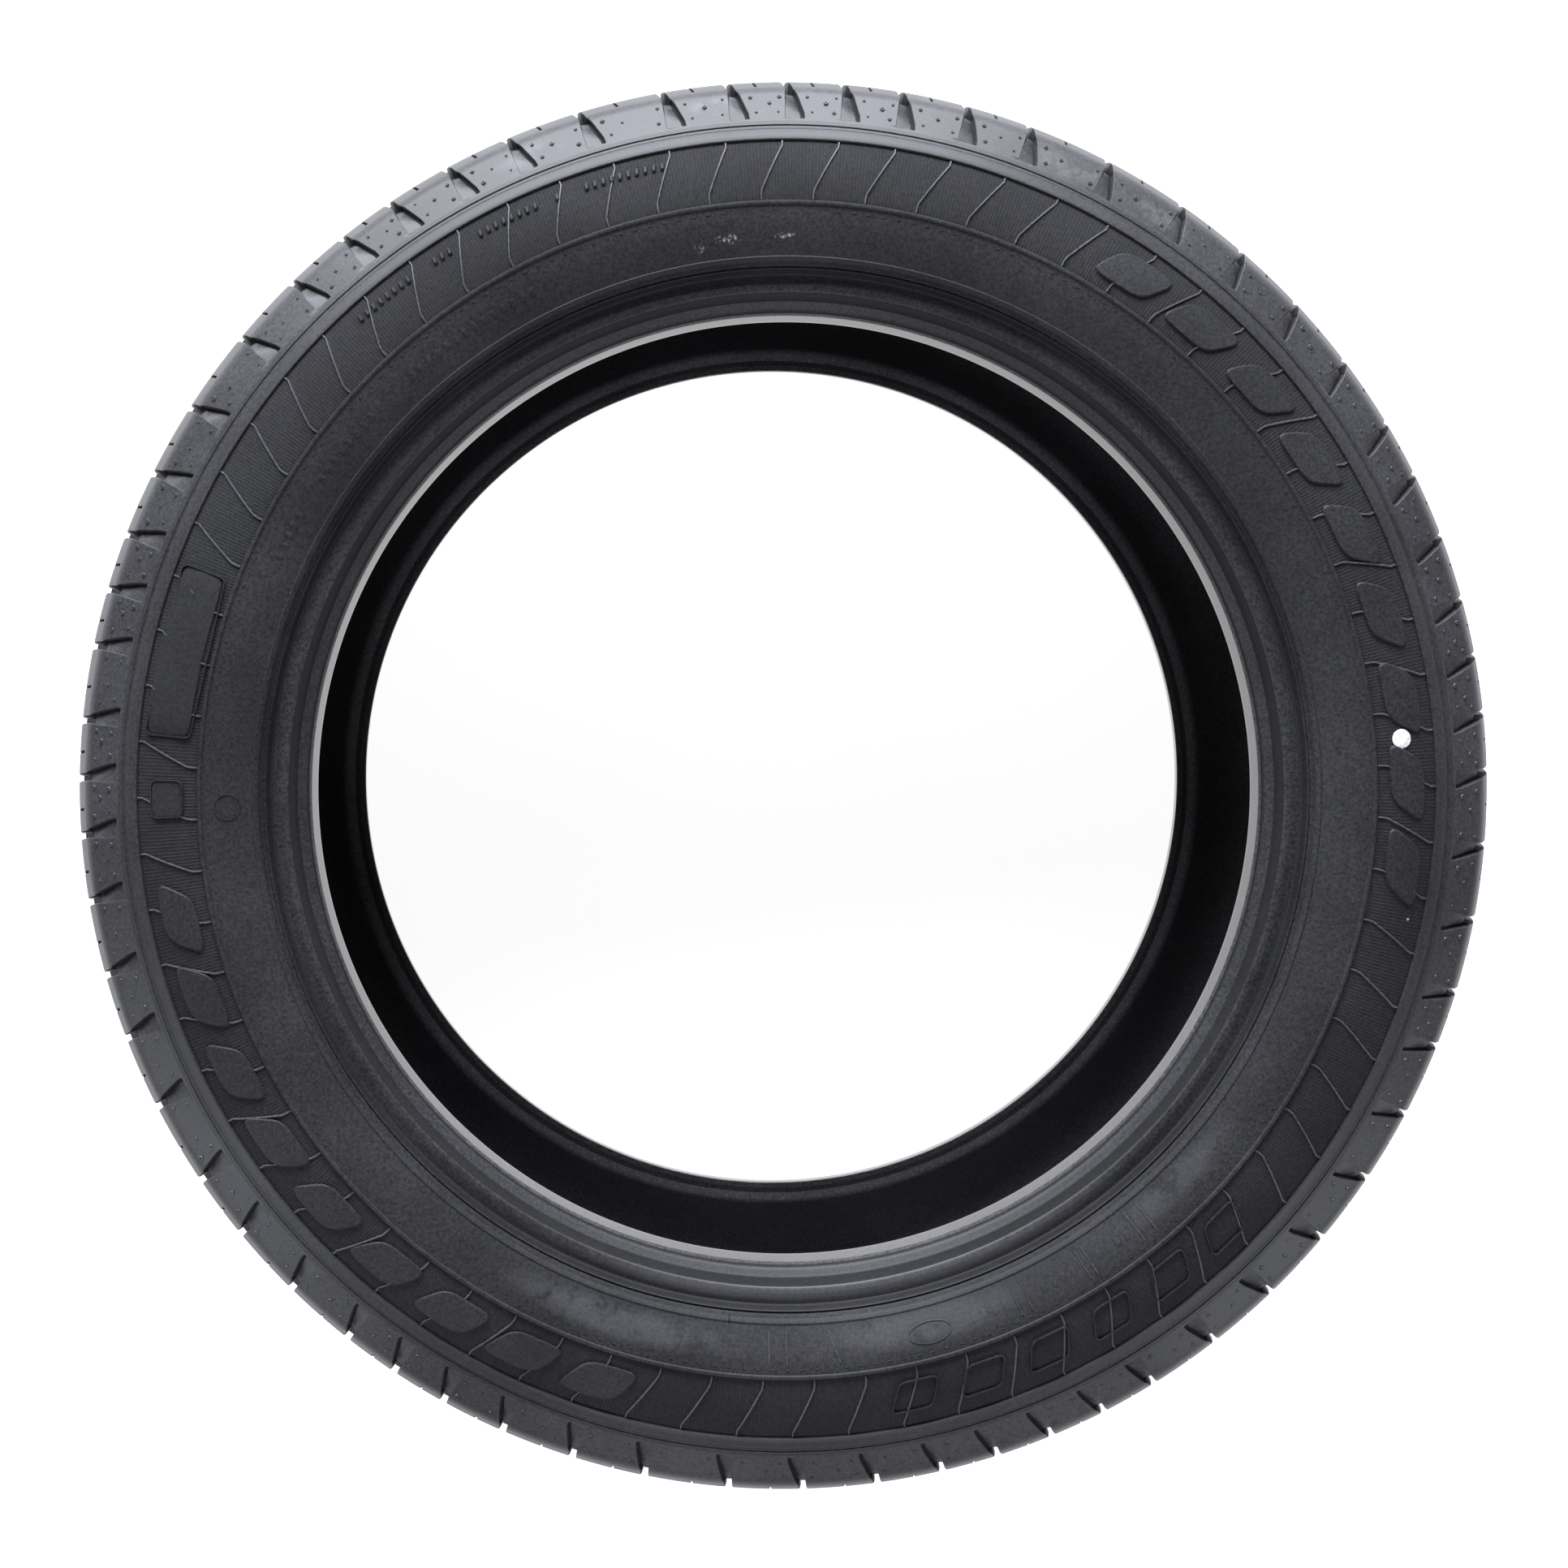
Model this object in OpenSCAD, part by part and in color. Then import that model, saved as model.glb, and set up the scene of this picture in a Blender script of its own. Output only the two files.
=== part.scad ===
// Car tyre, one vulcanised moulding, new and unmounted.
// It lies on its rear sidewall: the axis is Z, the origin is the centre, and the outer sidewall faces +Z.
// A point of the section is [radius, height above the middle plane].

/* [Overall] */
// Outside diameter over the middle of the tread
tyre_d = 702; // [696:1:712]
// Section width over the smooth sidewalls
tyre_w = 247; // [242:1:252]
// Diameter of the rim's bead seats
rim_d = 462; // [458:1:466]

/* [Bead] */
// Distance over the heels of the two beads
bead_span = 200; // [192:1:206]
// Width of the bead's base, from heel to toe
bead_base = 16; // [14:0.5:20]
// Length of the cylindrical seat in the bead's base
seat_land = 7; // [4:0.5:8]
// How far the toe stands inside the seat, in radius
toe_grip = 3; // [1:0.5:4]
// Rounding of the heel
heel_round = 4; // [3:0.5:5]
// Height above the seat of the hollow between the heel and the rim flange cushion
hollow_h = 5; // [4.5:0.1:5.5]
// How far the hollow lies outside the heel
hollow_out = 3.5; // [3:0.25:5]
// Height above the seat of the middle of the rim flange cushion
cushion_h = 9.7; // [9:0.1:10.5]
// Width of the cushion's crest
cushion_w = 5.5; // [4:0.5:6.5]
// How far the cushion stands outside the heel
cushion_out = 10.5; // [9:0.5:12]

/* [Sidewall] */
// Height of the widest point above the rim
widest_h = 48; // [44:1:52]
// Radius that the sidewall is curved to at its widest
side_round = 60; // [56:1:66]
// Height above the rim of the rib around the foot of the sidewall
foot_rib_h = 20.5; // [19:0.5:22]
// Width of the valley between that rib and the cushion
valley_w = 3.5; // [2.5:0.5:4]
// Depth of that valley
valley_depth = 4.5; // [3.5:0.5:5.5]
// Height above the rim where the serrated band starts
band_low_h = 48.5; // [46:0.5:51]
// Height above the rim where the serrated band ends
band_top_h = 78; // [75:0.5:80]
// Depth of the serrated band below the smooth sidewall
band_depth = 0.8; // [0.4:0.1:1.2]
// Distance from the serrated band to the tread's lower edge
ridge_w = 10.5; // [9:0.5:12]
// Height of the raised lines and ribs on the sidewall
rib_rise = 0.8; // [0.4:0.1:1.2]
// Width of a raised line
line_w = 2; // [1.5:0.1:2.5]

/* [Inside] */
// Thickness of the reinforced sidewall
wall = 12.5; // [10:0.5:14]
// Height above the seat where the inside of the bead turns outwards
core_top_h = 9; // [8:0.5:11]
// Height above the seat of the thick lower end of the sidewall
insert_low_h = 31; // [28:1:34]
// Height above the seat where the sidewall's inside turns in under the tread
insert_top_h = 75; // [72:1:78]
// Width of the flat liner under the tread
liner_w = 168; // [160:2:172]

/* [Tread] */
// Width of the tread between its edges
tread_w = 204; // [198:1:208]
// Radius that the crown is curved to across the tread
crown_round = 1400; // [1000:50:2000]
// Width of the flatter middle of the crown
crown_flat_w = 110; // [100:2:120]
// Radius that the tread is curved to towards its edges
edge_round = 110; // [95:5:140]
// Rounding of the tread's edge
edge_fillet = 7; // [5:0.5:9]
// Depth of the tread grooves
groove_depth = 8; // [6:0.5:8.5]
// Width of the grooves around the tread
groove_w = 10; // [8:0.5:12]
// Slope of each groove's walls, in width over the whole depth
groove_draft = 1.5; // [0.5:0.25:2]
// Distance of the inner grooves around the tread from its middle
inner_groove_at = 21; // [18:1:24]
// Distance of the outer grooves around the tread from its middle
outer_groove_at = 61; // [56:1:64]
// Rubber and belts under the grooves
under_tread = 8; // [7:0.5:10]

/* [Shoulder grooves] */
// Number of grooves across each shoulder
lateral_n = 64; // [56:1:72]
// Width of a shoulder groove where it crosses the tread's edge
lateral_w = 3.8; // [3:0.2:5]
// Width of a shoulder groove at its foot
lateral_foot_w = 8.2; // [6:0.2:9]
// How far the foot lies round from the tread's edge
lateral_lean = 5.6; // [3:0.2:8]
// How far the inner end lies round from the tread's edge
lateral_sweep = 9; // [4:0.5:12]
// Depth of a shoulder groove at the tread's edge
lateral_depth = 6.5; // [5:0.5:7]
// Depth of a shoulder groove at its foot
lateral_foot_depth = 1; // [0.6:0.1:1.6]
// Distance of the groove's foot from the tread's lower edge
lateral_foot_gap = 1.5; // [1:0.5:3]
// Distance from the tread's edge to where the groove's floor turns down
lateral_edge_in = 3; // [2:0.5:5]
// Distance from the tread's edge to where the groove bends
lateral_bend_in = 11; // [8:1:14]

/* [Rib notches] */
// Width of the notches in the ribs beside the outer grooves
notch_w = 2.6; // [2:0.2:4]
// Length of the notches into the rib
notch_l = 18; // [12:1:22]
// Depth of the notches
notch_depth = 6; // [4:0.5:7]
// Angle that the notches lean at, off the tyre's axis
notch_lean = 28; // [10:1:35]

/* [Hidden] */

fine = 240;
corner_steps = 6;
side_steps = 6;
tread_steps = 17;
over = 12;
line_soft = 0.35;
line_slope = 0.6;
toe_soft = 0.6;
rib_soft = 1;
valley_soft = 2;
hollow_soft = 3;
crest_soft = 4;
core_rise = 1;
insert_lean = 1.5;
floor_lift = 0.5;
core_soft = 18;
insert_soft = 45;
liner_soft = 34;

crown_r = tyre_d / 2;
seat_r = rim_d / 2;
half_w = tyre_w / 2;
half_tread = tread_w / 2;
heel_z = bead_span / 2;
toe_z = heel_z - bead_base;
toe_r = seat_r - toe_grip;
widest_r = seat_r + widest_h;
band_top_r = seat_r + band_top_h;
band_low_r = seat_r + band_low_h;
tread_foot_r = band_top_r + ridge_w;
foot_rib_r = seat_r + foot_rib_h;
liner_r = crown_r - groove_depth - under_tread;

// Height of the smooth sidewall at a radius
function side_z(r) = half_w - pow(r - widest_r, 2) / (2 * side_round);

// Radius of the tread's running surface at a distance from its middle
function tread_r(z) = crown_r - pow(z, 2) / (2 * crown_round)
  - pow(max(0, abs(z) - crown_flat_w / 2), 2) / (2 * edge_round);

// Each groove's angle, seen clockwise from the top: an even pitch, then the slow waves of a
// varied pitch sequence, which keeps the tread from humming
function pitch_angle(i, n) = let (even = 360 * i / n)
  even + 0.4 + sin(5 * even + 167) + 0.8 * sin(4 * even - 138)
  + 0.7 * sin(7 * even + 120) + 0.5 * sin(2 * even - 40);

// A corner of an outline, cut to an arc of the given rounding
function rounded(a, b, c, rounding) =
  let (u = (a - b) / norm(a - b), v = (c - b) / norm(c - b),
       half = acos(max(-1, min(1, u * v))) / 2,
       reach = min(rounding / tan(half), norm(a - b) / 2, norm(c - b) / 2),
       radius = reach * tan(half),
       middle = b + (u + v) / norm(u + v) * radius / sin(half),
       first = b + u * reach - middle, last = b + v * reach - middle,
       sweep = 180 - 2 * half, turn = sign(first.x * last.y - first.y * last.x))
  rounding == 0 ? [b] :
  [for (i = [0 : corner_steps]) let (t = turn * sweep * i / corner_steps)
    middle + [first.x * cos(t) - first.y * sin(t), first.x * sin(t) + first.y * cos(t)]];

// An outline of corners, each written as [radius, height, rounding]
function outline(corners) = let (n = len(corners))
  [for (i = [0 : n - 1])
    let (a = corners[(i + n - 1) % n], b = corners[i], c = corners[(i + 1) % n])
    each rounded([a.x, a.y], [b.x, b.y], [c.x, c.y], b.z)];

// A corner on the smooth sidewall, and one on a line raised above it
function plain(r) = [r, side_z(r), line_soft];
function raised(r) = [r, side_z(r) + rib_rise, line_soft];

// The half section above the middle plane, from the crown down the outside to the toe,
// then back up the inside to the crown
function tread_face() =
  [for (i = [0 : tread_steps - 1]) let (z = half_tread * i / tread_steps) [tread_r(z), z, 0]];

// The shoulder's wall, the raised line at its foot, a narrow groove, and the ridge inside it
function shoulder() = let (line_r = tread_foot_r - line_w, ridge_r = tread_foot_r - 2 * line_w)
  [[tread_r(half_tread), half_tread, edge_fillet],
   raised(tread_foot_r), raised(line_r), plain(line_r - line_slope),
   plain(ridge_r), raised(ridge_r - line_slope)];

function side_face(from_r, to_r, rise) =
  [for (i = [0 : side_steps]) let (r = from_r + (to_r - from_r) * i / side_steps)
    [r, side_z(r) + rise, 0]];

function sidewall() = concat(
  [raised(band_top_r + line_slope)], side_face(band_top_r, band_low_r, -band_depth),
  [raised(band_low_r - line_slope), raised(band_low_r - line_w)],
  side_face(band_low_r - line_w - line_slope, foot_rib_r + line_w + line_slope, 0));

function foot() = let (valley_r = foot_rib_r - valley_w, crest_r = seat_r + cushion_h,
    crest_z = heel_z + cushion_out)
  [raised(foot_rib_r + line_w),
   [foot_rib_r, side_z(foot_rib_r), rib_soft],
   [valley_r, side_z(foot_rib_r) - valley_depth, valley_soft],
   [crest_r + cushion_w / 2, crest_z, crest_soft],
   [crest_r - cushion_w / 2, crest_z, crest_soft],
   [seat_r + hollow_h, heel_z + hollow_out, hollow_soft],
   [seat_r + line_slope, heel_z, heel_round],
   [seat_r, heel_z - heel_round, 0],
   [seat_r, heel_z - heel_round - seat_land, 0],
   [toe_r, toe_z, toe_soft]];

function inside() =
  [[seat_r + core_top_h, toe_z + core_rise, core_soft],
   [seat_r + insert_low_h, half_w - wall - insert_lean, insert_soft],
   [seat_r + insert_top_h, half_w - wall, insert_soft],
   [liner_r, liner_w / 2, liner_soft],
   [liner_r, 0, 0]];

// Half of the section, drawn with its flat end on the middle plane
module half_section()
  polygon(outline(concat(tread_face(), shoulder(), sidewall(), foot(), inside())));

module casing() {
  rotate_extrude($fn = fine) half_section();
  mirror([0, 0, 1]) rotate_extrude($fn = fine) half_section();
}

// One groove around the tread, at a distance from its middle
module round_groove(at)
  rotate_extrude($fn = fine)
    polygon([[tread_r(at) - groove_depth, at - groove_w / 2 + groove_draft],
             [crown_r + over, at - groove_w / 2 - groove_draft],
             [crown_r + over, at + groove_w / 2 + groove_draft],
             [tread_r(at) - groove_depth, at + groove_w / 2 - groove_draft]]);

// One groove across a shoulder, at the angle of +X: its plan seen from outside the tread,
// kept above its floor
module shoulder_groove() {
  start_z = outer_groove_at;
  floor_r = tread_r(start_z) - groove_depth + floor_lift;
  foot_r = tread_foot_r + lateral_foot_gap;
  foot_z = side_z(foot_r);
  edge_z = half_tread - lateral_edge_in;
  bend_z = half_tread - lateral_bend_in;
  intersection() {
    rotate([90, 0, 90])
      linear_extrude(crown_r + over)
        polygon([[lateral_sweep - lateral_w / 2, start_z],
                 [-lateral_w / 2, bend_z],
                 [-lateral_lean - lateral_foot_w / 2, foot_z],
                 [-lateral_lean - lateral_foot_w / 2, foot_z + over],
                 [-lateral_lean + lateral_foot_w / 2, foot_z + over],
                 [-lateral_lean + lateral_foot_w / 2, foot_z],
                 [lateral_w / 2, bend_z],
                 [lateral_sweep + lateral_w / 2, start_z]]);
    rotate([90, 0, 0])
      linear_extrude(4 * (lateral_sweep + lateral_foot_w), center = true)
        polygon([[floor_r, start_z],
                 [tread_r(edge_z) - lateral_depth, edge_z],
                 [foot_r, foot_z - lateral_foot_depth],
                 [foot_r, foot_z + over],
                 [crown_r + over, foot_z + over],
                 [crown_r + over, start_z]]);
  }
}

// One notch at the angle of +X, in line with the shoulder groove, from an outer groove into the
// rib beside it
module rib_notch()
  translate([tread_r(outer_groove_at) - notch_depth, lateral_sweep, outer_groove_at])
    rotate([notch_lean, 0, 0])
      translate([0, -notch_w / 2, -notch_l])
        cube([notch_depth + over, notch_w, notch_l]);

// All the cuts across one half of the tread
module tread_cuts()
  for (i = [0 : lateral_n - 1])
    rotate([0, 0, 90 - pitch_angle(i, lateral_n)]) {
      shoulder_groove();
      rib_notch();
    }

module tyre()
  color([0.17, 0.17, 0.18])
    difference() {
      casing();
      for (at = [-outer_groove_at, -inner_groove_at, inner_groove_at, outer_groove_at])
        round_groove(at);
      tread_cuts();
      rotate([180, 0, 0]) tread_cuts();
    }

tyre();
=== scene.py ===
"""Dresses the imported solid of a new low-profile car tyre: tread, shoulders, sidewalls, beads and liner."""

from __future__ import annotations

import logging
import math
from dataclasses import dataclass, field
from enum import Enum
from typing import Callable, Sequence

import bpy
import numpy as np
from mathutils import Matrix, Vector

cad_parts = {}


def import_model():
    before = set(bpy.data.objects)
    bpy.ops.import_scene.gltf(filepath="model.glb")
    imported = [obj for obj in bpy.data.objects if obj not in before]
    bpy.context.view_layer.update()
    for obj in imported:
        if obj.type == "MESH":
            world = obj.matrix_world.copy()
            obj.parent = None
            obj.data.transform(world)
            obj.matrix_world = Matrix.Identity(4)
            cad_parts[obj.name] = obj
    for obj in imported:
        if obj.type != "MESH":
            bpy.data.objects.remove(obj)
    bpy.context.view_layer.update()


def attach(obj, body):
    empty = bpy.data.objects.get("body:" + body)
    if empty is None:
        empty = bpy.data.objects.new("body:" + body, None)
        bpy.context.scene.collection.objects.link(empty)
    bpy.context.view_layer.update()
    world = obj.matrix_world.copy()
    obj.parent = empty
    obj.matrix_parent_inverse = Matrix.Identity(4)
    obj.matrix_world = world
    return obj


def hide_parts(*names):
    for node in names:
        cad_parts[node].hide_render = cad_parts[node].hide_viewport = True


LOG = logging.getLogger("tyre")
MM = 0.001
SHARP = math.radians(32)
NEARLY_STRAIGHT = math.radians(89.5)
SMALL_ARC = 0.5 * MM
NEAR = 1e-7

Finishes = Sequence[bpy.types.Material]
Picker = Callable[[np.ndarray, np.ndarray], np.ndarray]
Parts = tuple[np.ndarray, list[list[int]]]


class Side(Enum):
    """The two sides of the tyre: the front is the one that the camera sees."""

    FRONT = "front"
    REAR = "rear"

    def placed(self, points: np.ndarray) -> np.ndarray:
        """Points modelled for the front, turned half a turn about X when they are for the rear."""
        return points if self is Side.FRONT else points * np.array([1.0, -1.0, -1.0])


class Edge(Enum):
    """How a corner of an outline is finished: the radius that it is rounded to."""

    CRISP = 0.35 * MM
    SOFT = 1.0 * MM


def rounded(corners: Sequence[tuple[float, float, float]], steps: int = 6) -> np.ndarray:
    """Cuts the corners of an open outline to arcs.

    Args:
        corners: each corner's radius, height and rounding; the two ends stay where they are.
        steps: the number of chords in an arc.

    Returns:
        The outline's points, one row each.
    """
    points = [np.array(corners[0][:2])]
    for before, here, after in zip(corners, corners[1:], corners[2:]):
        corner = np.array(here[:2])
        u, v = np.array(before[:2]) - corner, np.array(after[:2]) - corner
        long_u, long_v = np.linalg.norm(u), np.linalg.norm(v)
        u, v = u / long_u, v / long_v
        half = math.acos(float(np.clip(u @ v, -1, 1))) / 2
        if here[2] == 0 or half > NEARLY_STRAIGHT:
            points.append(corner)
            continue
        reach = min(here[2] / math.tan(half), long_u / 2, long_v / 2)
        radius = reach * math.tan(half)
        middle = corner + (u + v) / np.linalg.norm(u + v) * radius / math.sin(half)
        first, last = corner + u * reach - middle, corner + v * reach - middle
        sweep = math.atan2(first[0] * last[1] - first[1] * last[0], float(first @ last))
        chords = steps if here[2] > SMALL_ARC else 2
        for t in np.linspace(0, sweep, chords + 1):
            turn = np.array([[math.cos(t), -math.sin(t)], [math.sin(t), math.cos(t)]])
            points.append(middle + turn @ first)
    points.append(np.array(corners[-1][:2]))
    return np.array(points)


def spaced(points: np.ndarray, step: float) -> np.ndarray:
    """Adds points along the long stretches of an outline.

    Args:
        points: the outline's points.
        step: the longest chord that may stay.

    Returns:
        The same outline with no chord longer than the step.
    """
    out = [points[0]]
    for a, b in zip(points, points[1:]):
        n = max(1, math.ceil(float(np.linalg.norm(b - a)) / step - 1e-6))
        out += [a + (b - a) * i / n for i in range(1, n + 1)]
    return np.array(out)


def crossed(points: np.ndarray, axis: int, values: Sequence[float]) -> np.ndarray:
    """Adds the points where an outline first crosses each value of one coordinate.

    Args:
        points: the outline's points.
        axis: 0 for the radius, 1 for the height.
        values: where the outline needs a point.

    Returns:
        The outline with those points in it.
    """
    for value in values:
        line = points[:, axis] - value
        for i in range(len(points) - 1):
            if line[i] * line[i + 1] < 0:
                share = line[i] / (line[i] - line[i + 1])
                new = points[i] + (points[i + 1] - points[i]) * share
                points = np.insert(points, i + 1, new, axis=0)
                break
    return points


@dataclass(frozen=True)
class Section:
    """The tyre's section, as radii from the axis and heights from the middle plane.

    Attributes:
        crown_r: the largest radius of the tread.
        seat_r: the radius at the bead's heel, from which the heights up the sidewall are counted.
        half_w: half the width over the sidewalls.
        heel_z: how far the heel lies from the middle plane.
        bead_base: the length of the bead's base from heel to toe.
        toe_grip, base_slope: how far the base falls at the toe, and how much of it after the heel.
        hollow: how far up from the heel and how far out the hollow inside the cushion lies.
        cushion, cushion_w: the same for the middle of the cushion's crest, and the crest's width.
        heel_round, base_round, toe_round, hollow_round, cushion_round: the roundings of these.
        widest_h, side_round: where the sidewall is widest, and its radius there.
        wall: the thickness of the sidewall.
        foot_rib_h: how far up the rib at the sidewall's foot lies.
        step_groove, step_rib, valley: how far in and how far down from that rib they lie.
        step_round, rib_round, valley_round: their roundings.
        band_low_h, band_top_h, band_depth: the edges of the serrated band and its recess.
        ridge_w: the width of the smooth ridge outside the band.
        rib_rise, line_w, line_slope: height, width and foot of the lines around the sidewall.
        half_tread, crown_round, crown_flat, edge_round, edge_fillet: the curve of the tread.
        groove_depth, groove_floor, groove_mouth: a groove's depth and its half widths.
        inner_groove, outer_groove: how far the grooves lie from the middle plane.
        under_tread: the rubber and plies between a groove's floor and the liner.
        crown_step, groove_lip, edge_lead: the spacing of the tread's points, and its two ends.
        inner_h, inner_round, inner_edge_z: the heights, roundings and corner of the inside.
    """

    crown_r: float = 351 * MM
    seat_r: float = 231 * MM
    half_w: float = 123.5 * MM
    heel_z: float = 100 * MM
    bead_base: float = 16 * MM
    base_slope: float = 1.3 * MM
    toe_grip: float = 3 * MM
    heel_round: float = 4 * MM
    hollow: tuple[float, float] = (4.6 * MM, 2.6 * MM)
    cushion: tuple[float, float] = (8.7 * MM, 10.5 * MM)
    cushion_w: float = 3.0 * MM
    widest_h: float = 48 * MM
    side_round: float = 60 * MM
    wall: float = 12.5 * MM
    foot_rib_h: float = 20.6 * MM
    step_groove: tuple[float, float] = (1.6 * MM, 3.8 * MM)
    step_rib: tuple[float, float] = (2.8 * MM, 2.7 * MM)
    valley: tuple[float, float] = (4.9 * MM, 8.2 * MM)
    band_low_h: float = 48.5 * MM
    band_top_h: float = 78 * MM
    band_depth: float = 0.8 * MM
    ridge_w: float = 10.5 * MM
    rib_rise: float = 0.8 * MM
    line_w: float = 2 * MM
    line_slope: float = 0.6 * MM
    half_tread: float = 102 * MM
    crown_round: float = 1400 * MM
    crown_flat: float = 55 * MM
    edge_round: float = 110 * MM
    edge_fillet: float = 12 * MM
    groove_depth: float = 8 * MM
    groove_floor: float = 3.5 * MM
    groove_mouth: float = 4.6 * MM
    inner_groove: float = 21 * MM
    outer_groove: float = 61 * MM
    under_tread: float = 8 * MM
    crown_step: float = 4 * MM
    groove_lip: float = 3 * MM
    edge_lead: float = 6 * MM
    step_round: float = 0.4 * MM
    rib_round: float = 0.5 * MM
    valley_round: float = 1.5 * MM
    cushion_round: float = 3 * MM
    hollow_round: float = 2 * MM
    base_round: float = 1.5 * MM
    toe_round: float = 0.6 * MM
    inner_h: tuple[float, ...] = (3 * MM, 9 * MM, 31 * MM, 75 * MM)
    inner_round: tuple[float, ...] = (18 * MM, 45 * MM, 45 * MM, 34 * MM)
    inner_edge_z: float = 84 * MM

    def side_z(self, r: float) -> float:
        """Height of the smooth sidewall at a radius."""
        return self.half_w - (r - self.seat_r - self.widest_h) ** 2 / (2 * self.side_round)

    def band_z(self, r: float) -> float:
        """Height of the floor of the serrated band at a radius."""
        return self.side_z(r) - self.band_depth

    def tread_r(self, z: float) -> float:
        """Radius of the running surface at a distance from the middle plane."""
        edge = max(0.0, abs(z) - self.crown_flat)
        return self.crown_r - z * z / (2 * self.crown_round) - edge * edge / (2 * self.edge_round)

    @property
    def tread_foot(self) -> float:
        """Radius of the tread's lower edge, where the shoulder meets the sidewall."""
        return self.band[1] + self.ridge_w

    @property
    def foot_rib(self) -> float:
        """Radius of the rib around the foot of the sidewall."""
        return self.seat_r + self.foot_rib_h

    @property
    def seam_r(self) -> float:
        """Radius of the narrow groove where the shoulder's piece meets the sidewall's."""
        return self.tread_foot - 1.5 * self.line_w - self.line_slope / 2

    @property
    def band(self) -> tuple[float, float]:
        """Inner and outer radius of the serrated band."""
        return self.seat_r + self.band_low_h, self.seat_r + self.band_top_h

    @property
    def liner_r(self) -> float:
        """Radius of the liner under the middle of the tread."""
        return self.crown_r - self.groove_depth - self.under_tread

    def plain(self, r: float, edge: Edge = Edge.CRISP) -> tuple[float, float, float]:
        """A corner on the smooth sidewall."""
        return r, self.side_z(r), edge.value

    def raised(self, r: float, edge: Edge = Edge.CRISP) -> tuple[float, float, float]:
        """A corner on a line raised above the sidewall."""
        return r, self.side_z(r) + self.rib_rise, edge.value

    def below(self, place: tuple[float, float], rounding: float) -> tuple[float, float, float]:
        """A corner inside the rib at the foot of the sidewall: how far in, how far down."""
        return self.foot_rib - place[0], self.side_z(self.foot_rib) - place[1], rounding

    def shoulder(self) -> np.ndarray:
        """The outline from the middle of an outer groove, over the tread's edge, to the seam.

        Returns:
            Its points, one row each.
        """
        floor_r = self.tread_r(self.outer_groove) - self.groove_depth
        mouth_z = self.outer_groove + self.groove_mouth
        corners = [(floor_r, self.outer_groove, 0.0),
                   (floor_r, self.outer_groove + self.groove_floor, Edge.SOFT.value),
                   (self.tread_r(mouth_z), mouth_z, Edge.CRISP.value)]
        corners += [(self.tread_r(z), z, 0.0)
                    for z in np.arange(mouth_z + self.groove_lip, self.half_tread - self.edge_lead,
                                       self.crown_step)]
        line_r = self.tread_foot - self.line_w
        corners += [(self.tread_r(self.half_tread), self.half_tread, self.edge_fillet),
                    self.raised(self.tread_foot), self.raised(line_r),
                    self.plain(line_r - self.line_slope), self.plain(self.seam_r)]
        return rounded(corners)

    def rib(self, low: float, high: float) -> np.ndarray:
        """The outline of a rib between the middles of two grooves around the tread.

        Args:
            low: how far the lower groove lies from the middle plane.
            high: how far the upper one does.

        Returns:
            Its points, one row each.
        """
        low_r, high_r = (self.tread_r(z) - self.groove_depth for z in (low, high))
        inner, outer = low + self.groove_mouth, high - self.groove_mouth
        corners = [(low_r, low, 0.0), (low_r, low + self.groove_floor, Edge.CRISP.value),
                   (self.tread_r(inner), inner, Edge.CRISP.value)]
        corners += [(self.tread_r(z), z, 0.0) for z in np.linspace(inner, outer, 7)[1:-1]]
        corners += [(self.tread_r(outer), outer, Edge.CRISP.value),
                    (high_r, high - self.groove_floor, Edge.CRISP.value), (high_r, high, 0.0)]
        return rounded(corners)

    def side(self) -> np.ndarray:
        """The outline from the seam down the sidewall and round the bead to the inside of the toe.

        Returns:
            Its points, one row each.
        """
        low, top = self.band
        ridge_r = self.tread_foot - 2 * self.line_w
        corners = [self.plain(self.seam_r), self.plain(ridge_r),
                   self.raised(ridge_r - self.line_slope), self.raised(top + self.line_slope)]
        corners += [(r, self.band_z(r), 0.0) for r in np.linspace(top, low, 12)]
        corners += [self.raised(low - self.line_slope), self.raised(low - self.line_w)]
        corners += [(r, self.side_z(r), 0.0)
                    for r in np.linspace(low - self.line_w - self.line_slope,
                                         self.foot_rib + self.line_w + self.line_slope, 10)]
        crest_r, crest_z = self.seat_r + self.cushion[0], self.heel_z + self.cushion[1]
        corners += [self.raised(self.foot_rib + self.line_w), self.plain(self.foot_rib, Edge.SOFT),
                    self.below(self.step_groove, self.step_round),
                    self.below(self.step_rib, self.rib_round), self.below(self.valley, self.valley_round),
                    (crest_r + self.cushion_w / 2, crest_z, self.cushion_round),
                    (crest_r - self.cushion_w / 2, crest_z, self.cushion_round),
                    (self.seat_r + self.hollow[0], self.heel_z + self.hollow[1], self.hollow_round),
                    (self.seat_r + self.line_slope, self.heel_z, self.heel_round),
                    (self.seat_r - self.toe_grip + self.base_slope,
                     self.heel_z - self.heel_round, self.base_round),
                    (self.seat_r - self.toe_grip, self.heel_z - self.bead_base, self.toe_round)]
        return rounded(corners + [(*self.inside()[0], 0.0)])

    def inside(self) -> np.ndarray:
        """The outline of the inside, from the foot of the bead to the middle of the liner.

        Returns:
            Its points, one row each.
        """
        toe_z, side_z = self.heel_z - self.bead_base, self.half_w - self.wall
        toe_r, foot_r, low_r, high_r = (self.seat_r + h for h in self.inner_h)
        foot, low, high, edge = self.inner_round
        return rounded([(toe_r, toe_z + 0.5 * MM, 0.0), (foot_r, toe_z + 1 * MM, foot),
                        (low_r, side_z - 1.5 * MM, low), (high_r, side_z, high),
                        (self.liner_r, self.inner_edge_z, edge), (self.liner_r, 0.0, 0.0)], 8)


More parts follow.
